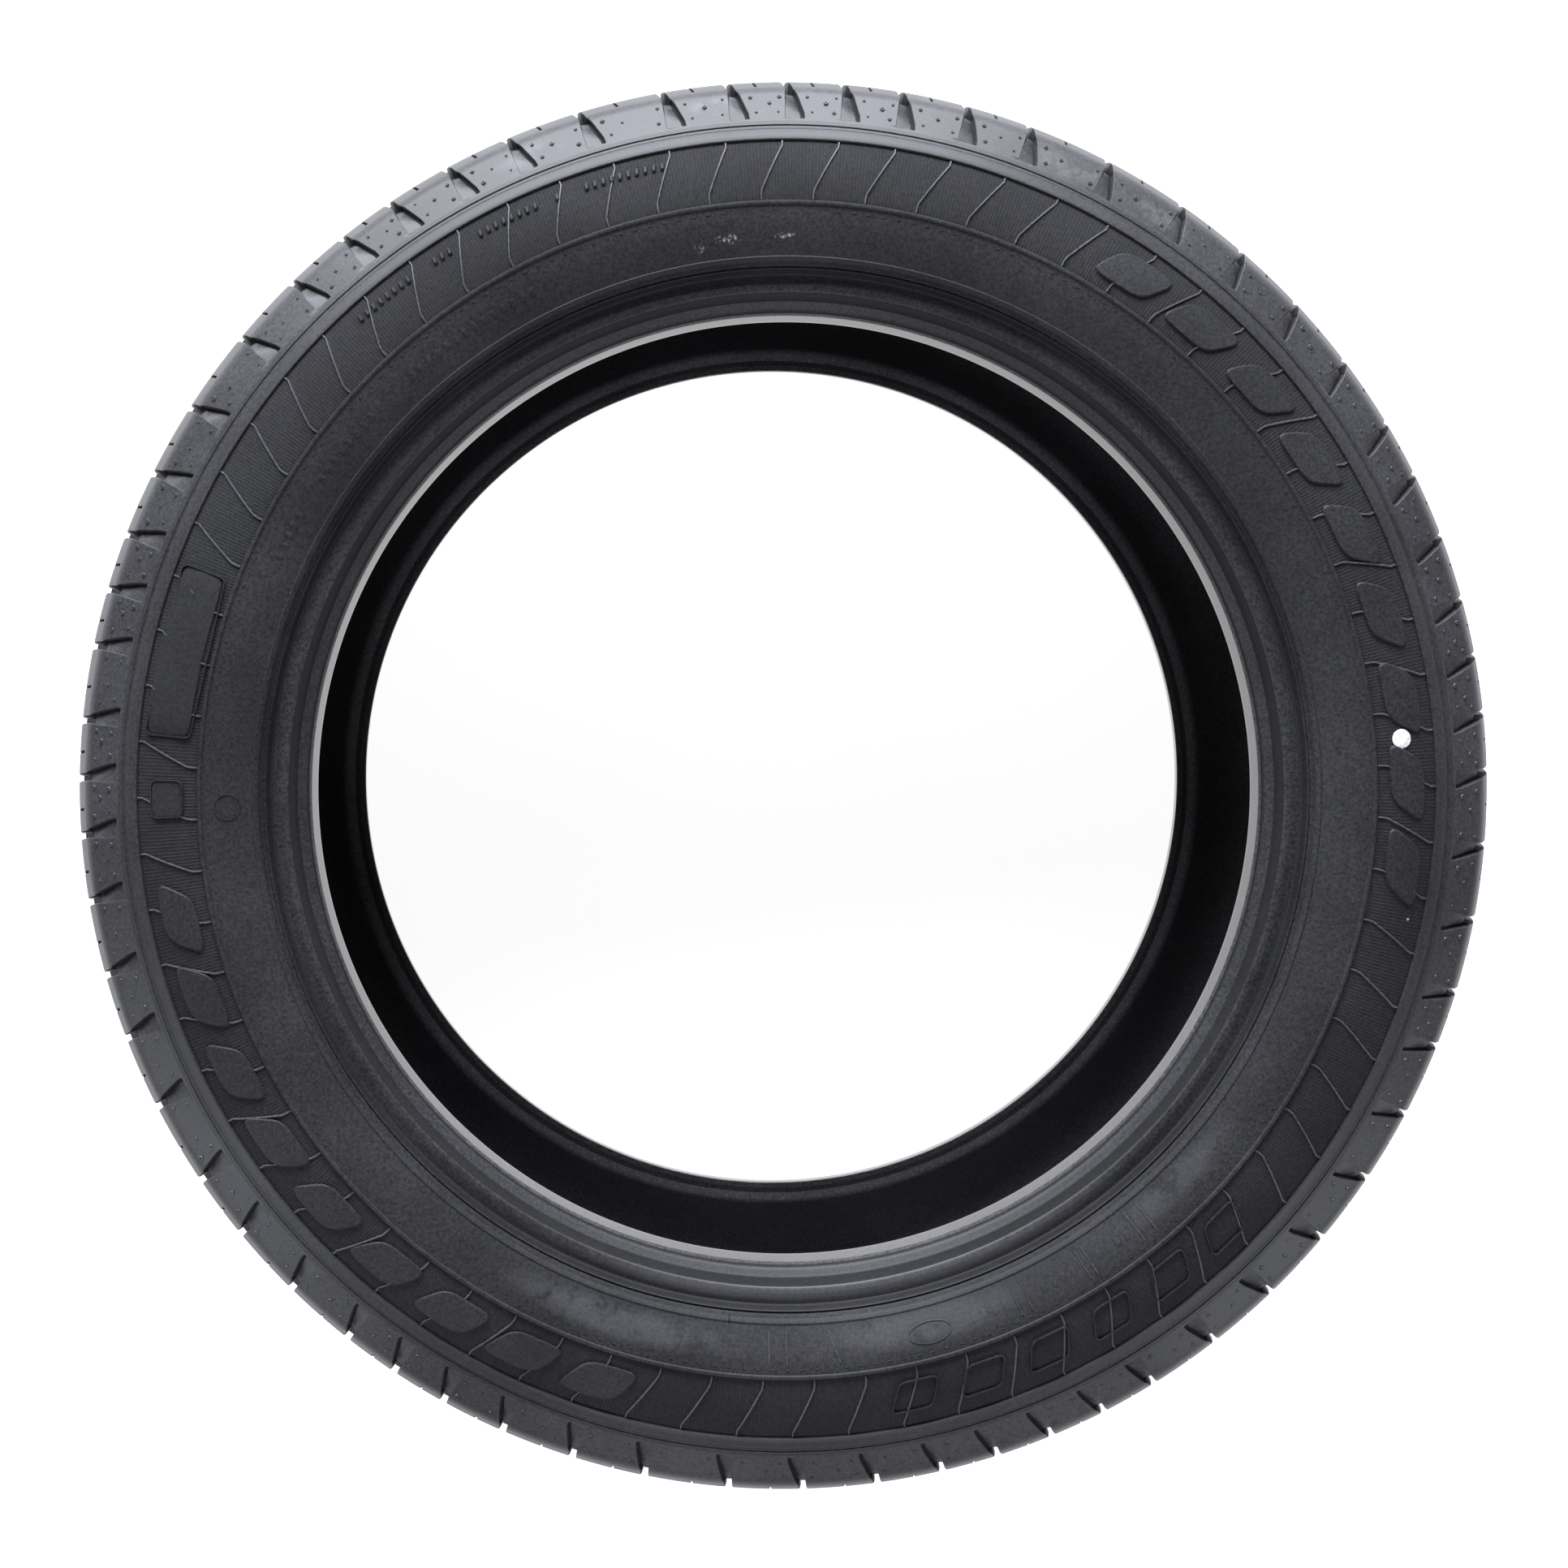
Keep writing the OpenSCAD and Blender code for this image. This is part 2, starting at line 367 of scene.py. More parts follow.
@dataclass(frozen=True)
class Pitch:
    """The varied pitch of the tread, a sequence of four lengths that keeps it from humming."""

    sequence: str = ("AABBDDCC" "CCABBAAA" "CCCACCCC" "CCAAAABC"
                     "CDCCBAAC" "CBDCBCBA" "ACAABCDC" "BABBCDBA")
    lengths: tuple[float, ...] = (4.7, 5.4, 6.1, 6.95)
    first: float = 0.2

    @property
    def count(self) -> int:
        """Number of slots in a shoulder."""
        return len(self.sequence)

    def angles(self, shift: float = 0.0) -> np.ndarray:
        """Angles of the slots in radians, clockwise from the top, moved by a share of their pitch.

        Args:
            shift: that share.

        Returns:
            One angle for each slot.
        """
        steps = np.array([self.lengths["ABCD".index(kind)] for kind in self.sequence])
        starts = np.concatenate([[0.0], np.cumsum(steps)[:-1]])
        return np.radians(self.first + (starts + shift * steps) * 360 / steps.sum())


def signed_volume(mesh: bpy.types.Mesh) -> float:
    """Volume inside a closed mesh, negative when its faces point inwards.

    Args:
        mesh: the mesh.

    Returns:
        The volume in cubic metres.
    """
    mesh.calc_loop_triangles()
    corners = np.empty(len(mesh.loop_triangles) * 3, dtype=np.int32)
    mesh.loop_triangles.foreach_get("vertices", corners)
    places = np.empty(len(mesh.vertices) * 3)
    mesh.vertices.foreach_get("co", places)
    a, b, c = places.reshape(-1, 3)[corners].reshape(-1, 3, 3).transpose(1, 0, 2)
    return float(np.einsum("ij,ij->", a, np.cross(b, c))) / 6


def finish_mesh(name: str, points: np.ndarray, faces: np.ndarray | list, finishes: Finishes,
                side: Side = Side.FRONT, pick: Picker | None = None) -> bpy.types.Object:
    """Makes a closed object with its faces outwards, smooth but for its sharp edges.

    Args:
        name: the piece's name.
        points: its vertices.
        faces: its faces, by vertex number.
        finishes: its finishes.
        side: the side of the tyre that it belongs to.
        pick: gives each face's finish from the radius and height of its middle, as on the front.

    Returns:
        The new object, linked to the scene.
    """
    mesh = bpy.data.meshes.new(name)
    mesh.from_pydata(side.placed(points).tolist(), [], [list(f) for f in faces])
    mesh.update()
    if signed_volume(mesh) < 0:
        mesh.flip_normals()
    mesh.polygons.foreach_set("use_smooth", [True] * len(mesh.polygons))
    mesh.set_sharp_from_angle(angle=SHARP)
    for finish in finishes:
        mesh.materials.append(finish)
    if pick:
        middle = points[np.array(faces)].mean(axis=1)
        chosen = pick(np.hypot(middle[:, 0], middle[:, 1]), middle[:, 2])
        mesh.polygons.foreach_set("material_index", chosen.astype(np.int32))
    obj = bpy.data.objects.new(name, mesh)
    bpy.context.scene.collection.objects.link(obj)
    return obj


def grid_faces(rows: int, cols: int) -> np.ndarray:
    """Faces of a grid that closes on itself both ways, as a ring of tyre does.

    Args:
        rows: points along the outline.
        cols: points around the axis.

    Returns:
        Four point numbers for each face.
    """
    i, j = np.meshgrid(np.arange(rows), np.arange(cols), indexing="ij")
    i1, j1 = (i + 1) % rows, (j + 1) % cols
    return np.stack([i * cols + j, i1 * cols + j, i1 * cols + j1, i * cols + j1], -1).reshape(-1, 4)


def turned(r: np.ndarray, z: np.ndarray, turn: np.ndarray) -> np.ndarray:
    """Points at the given radii and heights, each turned clockwise from the top."""
    return np.stack([r * np.sin(turn), r * np.cos(turn), z], -1).reshape(-1, 3)


def merged(parts: Sequence[Parts]) -> Parts:
    """Joins several closed shapes into one list of points and faces.

    Args:
        parts: the points and faces of each shape.

    Returns:
        The points and faces of them all.
    """
    points, faces, start = [], [], 0
    for some, theirs in parts:
        points.append(some)
        faces += [[start + i for i in face] for face in theirs]
        start += len(some)
    return np.vstack(points), faces


@dataclass(frozen=True)
class Slots:
    """One family of cuts across a ring of the tread.

    Attributes:
        at: each cut's angle in radians.
        shift: how far round the cut lies in each row of the ring.
        half: half its width in each row.
        depth: its depth in each row.
        near: depth of its counter-clockwise wall in each row, as a share of the other's.
        draft: how much narrower it is at its floor, on each side.
        bevel: size of the bevel on its edges.
        slit_w: width of the slit along its clockwise wall.
        slit: depth of that slit in each row.
    """

    at: np.ndarray
    shift: np.ndarray
    half: np.ndarray
    depth: np.ndarray
    near: np.ndarray | float = 1.0
    draft: float = 0.3 * MM
    bevel: float = 0.3 * MM
    slit_w: float = 0.0
    slit: np.ndarray | None = None

    def columns(self) -> list[tuple[int, float, np.ndarray]]:
        """The lines of points that draw a cut: side, distance outside its wall, depth.

        Returns:
            One entry for each line, in order around the tyre.
        """
        flush, near = np.zeros(len(self.depth)), self.depth * self.near
        lines = [(-1, self.bevel, flush), (-1, 0.0, np.minimum(near, self.bevel)),
                 (-1, -self.draft, near)]
        deep = self.depth
        if self.slit is not None:
            deep = np.maximum(self.depth, self.slit)
            lines += [(1, -self.draft - self.slit_w, self.depth),
                      (1, -self.draft - 0.8 * self.slit_w, deep)]
        return lines + [(1, -self.draft, deep), (1, 0.0, np.minimum(deep, self.bevel)),
                        (1, self.bevel, flush)]


@dataclass
class CutRing:
    """A ring of the tread with cuts across it.

    Attributes:
        top: its outline from one seam to the other.
        back: the outline that closes it inside the rubber.
        slots: the families of cuts.
        lean: each row's way down into a cut, as an angle off the radius.
        fill: lines of points between two cuts.
    """

    top: np.ndarray
    back: np.ndarray
    slots: list[Slots]
    lean: np.ndarray
    fill: int = 2

    def build(self, name: str, finishes: Finishes, side: Side,
              pick: Picker | None = None) -> bpy.types.Object:
        """Makes the ring as one closed grid.

        Args:
            name: the piece's name.
            finishes: its finishes.
            side: the side of the tyre that it belongs to.
            pick: gives each face's finish.

        Returns:
            The ring's object.
        """
        r, z = self.top[:, :1], self.top[:, 1:]
        cuts = sorted(((a, s) for s in self.slots for a in s.at), key=lambda cut: cut[0])
        groups = [[(angle + (slot.shift + way * (slot.half + out)) / r[:, 0], deep)
                   for way, out, deep in slot.columns()] for angle, slot in cuts]
        turns, depths = [], []
        for k, group in enumerate(groups):
            last = group[-1][0]
            wrap = math.tau if k + 1 == len(groups) else 0.0
            following = groups[(k + 1) % len(groups)][0][0] + wrap
            turns += [turn for turn, _ in group]
            depths += [deep for _, deep in group]
            for share in np.arange(1, self.fill + 1) / (self.fill + 1):
                turns.append(last + (following - last) * share)
                depths.append(np.zeros(len(self.top)))
        turn, depth = np.array(turns).T, np.array(depths).T
        top_r = r - depth * np.cos(self.lean)[:, None]
        top_z = z - depth * np.sin(self.lean)[:, None]
        half = len(self.back) // 2
        under = turn[[-1, 0]].repeat([half, len(self.back) - half], axis=0)
        ones = np.ones((1, turn.shape[1]))
        points = turned(np.vstack([top_r, self.back[:, :1] * ones]),
                        np.vstack([top_z, self.back[:, 1:] * ones]), np.vstack([turn, under]))
        faces = grid_faces(len(self.top) + len(self.back), turn.shape[1])
        return finish_mesh(name, points, faces, finishes, side, pick)


def reach(points: np.ndarray, lean: np.ndarray, line: np.ndarray) -> np.ndarray:
    """How deep below each point a floor line lies.

    Args:
        points: points of an outline.
        lean: the angle of each point's way down, off the radius.
        line: the corners of the floor line.

    Returns:
        The depth at each point, and nought where the floor lies above it or nowhere.
    """
    out = np.zeros(len(points))
    for i, (point, angle) in enumerate(zip(points, lean)):
        way = -np.array([math.cos(angle), math.sin(angle)])
        for a, b in zip(line, line[1:]):
            along, gap = b - a, a - point
            cross = way[0] * along[1] - way[1] * along[0]
            if abs(cross) < 1e-12:
                continue
            deep = (gap[0] * along[1] - gap[1] * along[0]) / cross
            share = (gap[0] * way[1] - gap[1] * way[0]) / cross
            if 0 <= share <= 1 and deep > out[i]:
                out[i] = deep
    return out


@dataclass
class Tread:
    """The tread: shoulders with their slots, and the ribs between the grooves around it.

    Attributes:
        section: the tyre's section.
        pitch: the places of the slots around it.
        slot_w, slot_foot_w: a slot's width on the tread and at its foot.
        slot_lean, slot_sweep: how far round its foot and its inner end lie.
        slot_depth, slot_foot_depth: its depth at the tread's edge and at its foot.
        slot_foot_gap: the wall left under its foot.
        slot_edge_z: where it turns from the tread to the shoulder's wall.
        slit_w, slit_depth, slit_fade: the gutter in its floor, and the share lost at the foot.
        near_fade, near_run: the share of its depth lost at its other wall, and how soon.
        sipe_w, sipe_depth: a sipe's width and depth.
        sipe_at: its place in the block, as a share of the pitch.
        sipe_from, sipe_end_z: where a shoulder's sipe starts outside the groove, and its end.
        sipe_l, short_sipe: the length of a rib's sipe, and of the middle rib's.
        back: radius and height of the points that close a shoulder inside the rubber.
        painted_shade_from: the depth below which a slot takes its dark finish, a darker grey that is painted
            shade.
        notch_w, notch_l, notch_depth, notch_lean: the notches in the ribs.
        end: the length over which a cut runs out.
        row_step: the longest step between two rows of points.
        wall_down: where the way into a slot starts to lean, and over how far.
        back_r: the radius that closes a ring inside the rubber.
    """

    section: Section
    pitch: Pitch
    slot_w: float = 3.8 * MM
    slot_foot_w: float = 9 * MM
    slot_lean: float = 2.6 * MM
    slot_sweep: float = 3.2 * MM
    slot_depth: float = 3.7 * MM
    slot_foot_depth: float = 1 * MM
    slot_foot_gap: float = 1.5 * MM
    slot_edge_z: float = 101 * MM
    slit_w: float = 1.5 * MM
    slit_depth: float = 3.2 * MM
    slit_fade: float = 0.4
    near_fade: float = 0.9
    near_run: float = 1.6
    sipe_w: float = 1.3 * MM
    sipe_depth: float = 5 * MM
    sipe_at: float = 0.44
    sipe_from: float = 10 * MM
    sipe_end_z: float = 98 * MM
    sipe_l: float = 17 * MM
    short_sipe: float = 9 * MM
    painted_shade_from: float = 2.0 * MM
    notch_w: float = 2.6 * MM
    notch_l: float = 18 * MM
    notch_depth: float = 6 * MM
    notch_lean: float = math.radians(28)
    end: float = 0.3 * MM
    row_step: float = 2.8 * MM
    wall_down: tuple[float, float] = (66 * MM, 30 * MM)
    back_r: float = 337 * MM
    back: tuple[tuple[float, float], ...] = ((326 * MM, 96 * MM), (335.5 * MM, 75 * MM))

    def shoulder(self, side: Side, finishes: Finishes) -> bpy.types.Object:
        """Makes one shoulder, from the outer groove to the seam, with its slots and sipes.

        Args:
            side: which shoulder.
            finishes: those of the tread, the shoulder's wall, the line at its foot and the painted shade
                deep in the slots.

        Returns:
            The shoulder's object.
        """
        s = self.section
        foot_r = s.tread_foot + self.slot_foot_gap
        sipe_z = s.outer_groove + self.sipe_from
        top = crossed(s.shoulder(), 1, [sipe_z - self.end, sipe_z, self.sipe_end_z,
                                        self.sipe_end_z + self.end])
        top = crossed(spaced(top, self.row_step), 0, [foot_r - self.end, foot_r])
        lean = self.way_down(top)
        floor = np.array([[s.tread_r(s.outer_groove) - s.groove_depth + 0.5 * MM, s.outer_groove],
                          [s.tread_r(self.slot_edge_z) - self.slot_depth, self.slot_edge_z],
                          [foot_r - 3 * MM, s.side_z(foot_r) - self.slot_foot_depth + 1.5 * MM]])
        cut = (top[:, 0] >= foot_r - NEAR) & (top[:, 1] > s.outer_groove + s.groove_floor)
        deep = np.where(cut, reach(top, lean, floor), 0)
        edge_z = self.slot_edge_z
        inner = np.clip((edge_z - top[:, 1]) / (edge_z - s.outer_groove), 0, 1)
        outer = np.clip((top[:, 1] - edge_z) / (s.side_z(foot_r) - edge_z), 0, 1)
        shift = self.slot_lean * outer - self.slot_sweep * inner
        half = (self.slot_w + (self.slot_foot_w - self.slot_w) * outer) / 2
        slit = np.where(deep > 0, self.slit_depth * (1 - self.slit_fade * outer), 0)
        near = 1 - self.near_fade * np.minimum(1, self.near_run * outer)
        slots = Slots(self.pitch.angles(), shift, half, deep, near, slit_w=self.slit_w, slit=slit)
        thin = (top[:, 1] >= sipe_z) & (top[:, 1] <= self.sipe_end_z)
        sipes = self.sipes(self.sipe_at, shift, np.where(thin, np.minimum(deep, self.sipe_depth), 0))
        back = np.array([[s.seam_r - 0.5 * MM, 105 * MM], *self.back, [self.back_r, s.outer_groove]])
        wall_z, ridge_r = s.half_tread - 4 * MM, s.tread_foot + 0.3 * MM

        def pick(r: np.ndarray, z: np.ndarray) -> np.ndarray:
            """The finish of each face: tread, wall, the line at its foot or the painted shade deep in a
            slot.

            Args:
                r: the radius of each face's middle.
                z: its height.

            Returns:
                The number of each face's finish.
            """
            below = np.minimum(np.interp(z, top[:, 1], top[:, 0]) - r,
                               np.interp(r, top[::-1, 0], top[::-1, 1]) - z)
            plain = (z > wall_z).astype(int) + ((z > wall_z) & (r < ridge_r))
            # Faces more than a set depth inside a slot take the darker grey of painted shade.
            return np.where((below > self.painted_shade_from) & (z > sipe_z), 3, plain)

        return CutRing(top, back, [slots, sipes], lean).build(f"shoulder_{side.value}", finishes,
                                                              side, pick)

    def way_down(self, top: np.ndarray) -> np.ndarray:
        """Each row's way into a slot: along the radius on the tread, square to the shoulder's wall.

        Args:
            top: the shoulder's outline.

        Returns:
            The angle off the radius at each of its points.
        """
        way = np.gradient(top, axis=0)
        start, length = self.wall_down
        ease = np.clip((top[:, 1] - start) / length, 0, 1)
        return np.arctan2(-way[:, 0], way[:, 1]) * ease

    def sipes(self, shift: float, along: np.ndarray, depth: np.ndarray) -> Slots:
        """A family of sipes, the thin cuts of a block."""
        return Slots(self.pitch.angles(shift), along, np.full(len(along), self.sipe_w / 2), depth,
                     draft=0.1 * MM, bevel=0.15 * MM)

    def rib(self, side: Side, finishes: Finishes) -> bpy.types.Object:
        """Makes the rib between an outer and an inner groove, with its notches and sipes.

        Args:
            side: which of the two ribs.
            finishes: its finish.

        Returns:
            The rib's object.
        """
        s = self.section
        notch_end = s.outer_groove - self.notch_l * math.cos(self.notch_lean)
        sipe_end = s.inner_groove + self.sipe_l
        top = crossed(s.rib(s.inner_groove, s.outer_groove), 1,
                      [notch_end - self.end, notch_end, sipe_end, sipe_end + self.end])
        shift = (top[:, 1] - s.outer_groove) * math.tan(self.notch_lean) - self.slot_sweep
        above = top[:, 0] - np.array([s.tread_r(z) for z in top[:, 1]])
        cut = np.where(top[:, 1] >= notch_end - NEAR, np.maximum(0, above + self.notch_depth), 0)
        thin = np.where(top[:, 1] <= sipe_end + NEAR, np.maximum(0, above + self.sipe_depth), 0)
        notches = Slots(self.pitch.angles(), shift, np.full(len(top), self.notch_w / 2), cut)
        back = np.array([[self.back_r, s.outer_groove], [self.back_r, s.inner_groove]])
        ring = CutRing(top, back, [notches, self.sipes(self.sipe_at, shift, thin)], np.zeros(len(top)))
        return ring.build(f"rib_{side.value}", finishes, side)

    def centre_rib(self, finishes: Finishes) -> bpy.types.Object:
        """Makes the rib in the middle of the tread, with short sipes in both edges.

        Args:
            finishes: its finish.

        Returns:
            The rib's object.
        """
        s = self.section
        short = s.inner_groove - s.groove_mouth - self.short_sipe
        top = crossed(s.rib(-s.inner_groove, s.inner_groove), 1,
                      [-short, self.end - short, short - self.end, short])
        above = top[:, 0] - np.array([s.tread_r(z) for z in top[:, 1]])
        thin = np.maximum(0, above + self.sipe_depth)
        shift = top[:, 1] * math.tan(self.notch_lean)
        upper = self.sipes(0.0, shift, np.where(top[:, 1] >= short - NEAR, thin, 0))
        lower = self.sipes(0.5, shift, np.where(top[:, 1] <= NEAR - short, thin, 0))
        back = np.array([[self.back_r, s.inner_groove], [self.back_r, -s.inner_groove]])
        ring = CutRing(top, back, [upper, lower], np.zeros(len(top)))
        return ring.build("rib_centre", finishes, Side.FRONT)


@dataclass
class Casing:
    """The smooth rings of the tyre: both sidewalls with their beads, and the liner inside.

    Attributes:
        section: the tyre's section.
        around, liner_around: steps around the axis of a sidewall and of the liner.
        step, liner_step: the longest step along their outlines.
        liner_t: the liner's thickness, which reaches into the rubber.
        back: radius and height of the points that close a sidewall inside the rubber.
    """

    section: Section
    around: int = 432
    liner_around: int = 324
    step: float = 3 * MM
    liner_step: float = 8 * MM
    liner_t: float = 2 * MM
    back: tuple[tuple[float, float], ...] = ((240 * MM, 92 * MM), (252 * MM, 106 * MM),
                                             (264 * MM, 113 * MM), (280 * MM, 117 * MM),
                                             (298 * MM, 114 * MM))

    def ring(self, name: str, loop: np.ndarray, around: int, finishes: Finishes,
             side: Side, pick: Picker | None = None) -> bpy.types.Object:
        """Turns a closed outline into a ring.

        Args:
            name: the piece's name.
            loop: the outline, with no point repeated.
            around: the number of steps around the axis.
            finishes: its finishes.
            side: the side of the tyre that it belongs to.
            pick: gives each face's finish.

        Returns:
            The ring's object.
        """
        turn = np.linspace(0, math.tau, around, endpoint=False)[None, :]
        ones = np.ones((len(loop), around))
        points = turned(loop[:, :1] * ones, loop[:, 1:] * ones, turn * ones)
        return finish_mesh(name, points, grid_faces(len(loop), around), finishes, side, pick)

    def sidewall(self, side: Side, finishes: Finishes) -> bpy.types.Object:
        """Makes one sidewall with its bead, closed inside the rubber.

        Args:
            side: which sidewall.
            finishes: those of the ridge, the serrated band, the smooth sidewall, the valley, the
            cushion, the hollow, the heel, the line inside it and the toe; the valley, the hollow and
            the line inside the heel take a darker grey that is painted shade.

        Returns:
            The sidewall's object.
        """
        s = self.section
        outer = spaced(s.side(), self.step)
        back = np.array([*self.back, (s.seam_r - 1 * MM, 105.5 * MM)])
        # Each radius at which the finish changes, from the band down to the toe; the valley, the hollow and
        # the line inside the heel take painted shade, a darker grey.
        edges = np.array([s.band[1] + s.line_slope / 2, s.band[0] - s.line_slope / 2,
                          s.foot_rib - s.step_rib[0] - 0.5 * MM, s.foot_rib - s.valley[0] - 1 * MM,
                          s.seat_r + s.cushion[0] - s.cushion_w / 2,
                          s.seat_r + s.hollow[0] - 0.5 * MM, s.seat_r + 0.1 * MM,
                          s.seat_r - 0.8 * MM])
        return self.ring(f"sidewall_{side.value}", np.vstack([outer, back]), self.around, finishes,
                         side, lambda r, z: (r[:, None] < edges).sum(axis=1))

    def liner(self, finishes: Finishes) -> bpy.types.Object:
        """Makes the liner, from one bead over the inside of the tread to the other.

        Args:
            finishes: its finish.

        Returns:
            The liner's object.
        """
        half = spaced(self.section.inside(), self.liner_step)
        way = np.gradient(half, axis=0)
        way /= np.linalg.norm(way, axis=1)[:, None]
        behind = half + self.liner_t * np.stack([-way[:, 1], way[:, 0]], 1)
        flip = np.array([1.0, -1.0])
        face = np.vstack([half, half[-2::-1] * flip])
        back = np.vstack([behind, behind[-2::-1] * flip])[::-1]
        return self.ring("liner", np.vstack([face, back]), self.liner_around, finishes, Side.FRONT)


def grown(seed: bpy.types.Object, name: str, tree: bpy.types.NodeTree,
          values: dict) -> bpy.types.Object:
    """Runs a Geometry Nodes tree on an object and keeps the result as one plain mesh.

    Args:
        seed: the object that the tree starts from, which is removed.
        name: the new piece's name.
        tree: the tree.
        values: the tree's inputs by name.

    Returns:
        The new object, linked to the scene.
    """
    modifier = seed.modifiers.new("grow", "NODES")
    modifier.node_group = tree
    ids = {item.name: item.identifier for item in tree.interface.items_tree
           if item.in_out == "INPUT"}
    for key, value in values.items():
        modifier[ids[key]] = value
    graph = bpy.context.evaluated_depsgraph_get()
    mesh = bpy.data.meshes.new_from_object(seed.evaluated_get(graph), depsgraph=graph)
    seed.modifiers.remove(modifier)
    bpy.data.objects.remove(seed)
    mesh.name = name
    obj = bpy.data.objects.new(name, mesh)
    bpy.context.scene.collection.objects.link(obj)
    return obj


def new_tree(name: str, output: str, inputs: dict[str, str]) -> bpy.types.NodeTree:
    """Starts a Geometry Nodes tree.

    Args:
        name: its name.
        output: the name of its one output.
        inputs: the kind of each input by its name.

    Returns:
        The tree, with its sockets and no nodes.
    """
    tree = bpy.data.node_groups.new(name, "GeometryNodeTree")
    for key, kind in inputs.items():
        tree.interface.new_socket(key, in_out="INPUT", socket_type=f"NodeSocket{kind}")
    tree.interface.new_socket(output, in_out="OUTPUT", socket_type="NodeSocketGeometry")
    return tree


@dataclass
class AroundTree:
    """A Geometry Nodes tree that sets copies of one modelled piece around the tyre's axis."""

    tree: bpy.types.NodeTree = field(init=False)

    def __post_init__(self) -> None:
        """Builds the tree once, with its named inputs."""
        tree = self.tree = new_tree("around_the_axis", "Ring", {
            "Piece": "Geometry", "Count": "Int", "First": "Float", "Step": "Float",
            "Finish": "Material"})
        given = tree.nodes.new("NodeGroupInput")
        points = tree.nodes.new("GeometryNodePoints")
        index = tree.nodes.new("GeometryNodeInputIndex")
        turn = tree.nodes.new("ShaderNodeMath")
        turn.operation = "MULTIPLY_ADD"
        spin = tree.nodes.new("ShaderNodeCombineXYZ")
        copies = tree.nodes.new("GeometryNodeInstanceOnPoints")
        real = tree.nodes.new("GeometryNodeRealizeInstances")
        dress = tree.nodes.new("GeometryNodeSetMaterial")
        out = tree.nodes.new("NodeGroupOutput")
        for start, end in (
                (given.outputs["Count"], points.inputs["Count"]),
                (index.outputs[0], turn.inputs[0]), (given.outputs["Step"], turn.inputs[1]),
                (given.outputs["First"], turn.inputs[2]), (turn.outputs[0], spin.inputs["Z"]),
                (points.outputs[0], copies.inputs["Points"]),
                (given.outputs["Piece"], copies.inputs["Instance"]),
                (spin.outputs[0], copies.inputs["Rotation"]),
                (copies.outputs[0], real.inputs[0]), (real.outputs[0], dress.inputs["Geometry"]),
                (given.outputs["Finish"], dress.inputs["Material"]),
                (dress.outputs[0], out.inputs["Ring"])):
            tree.links.new(start, end)

    def spread(self, name: str, shape: Parts, count: int, first: float, step: float,
               finish: bpy.types.Material, side: Side) -> bpy.types.Object:
        """Sets copies of a shape around the axis and makes them one plain mesh.

        Args:
            name: the new piece's name.
            shape: the points and faces of one copy, at the top of the tyre.
            count: the number of copies.
            first: the first copy's angle, clockwise in radians.
            step: the angle from one copy to the next.
            finish: their finish.
            side: the side of the tyre that they belong to.

        Returns:
            The object that holds all the copies.
        """
        way = 1 if side is Side.FRONT else -1
        seed = finish_mesh(f"{name}_one", *shape, [finish], side)
        # A rear piece is modelled half a turn about X away, so that it turns the other way.
        return grown(seed, name, self.tree, {"Count": count, "First": -way * first,
                                             "Step": -way * step, "Finish": finish})


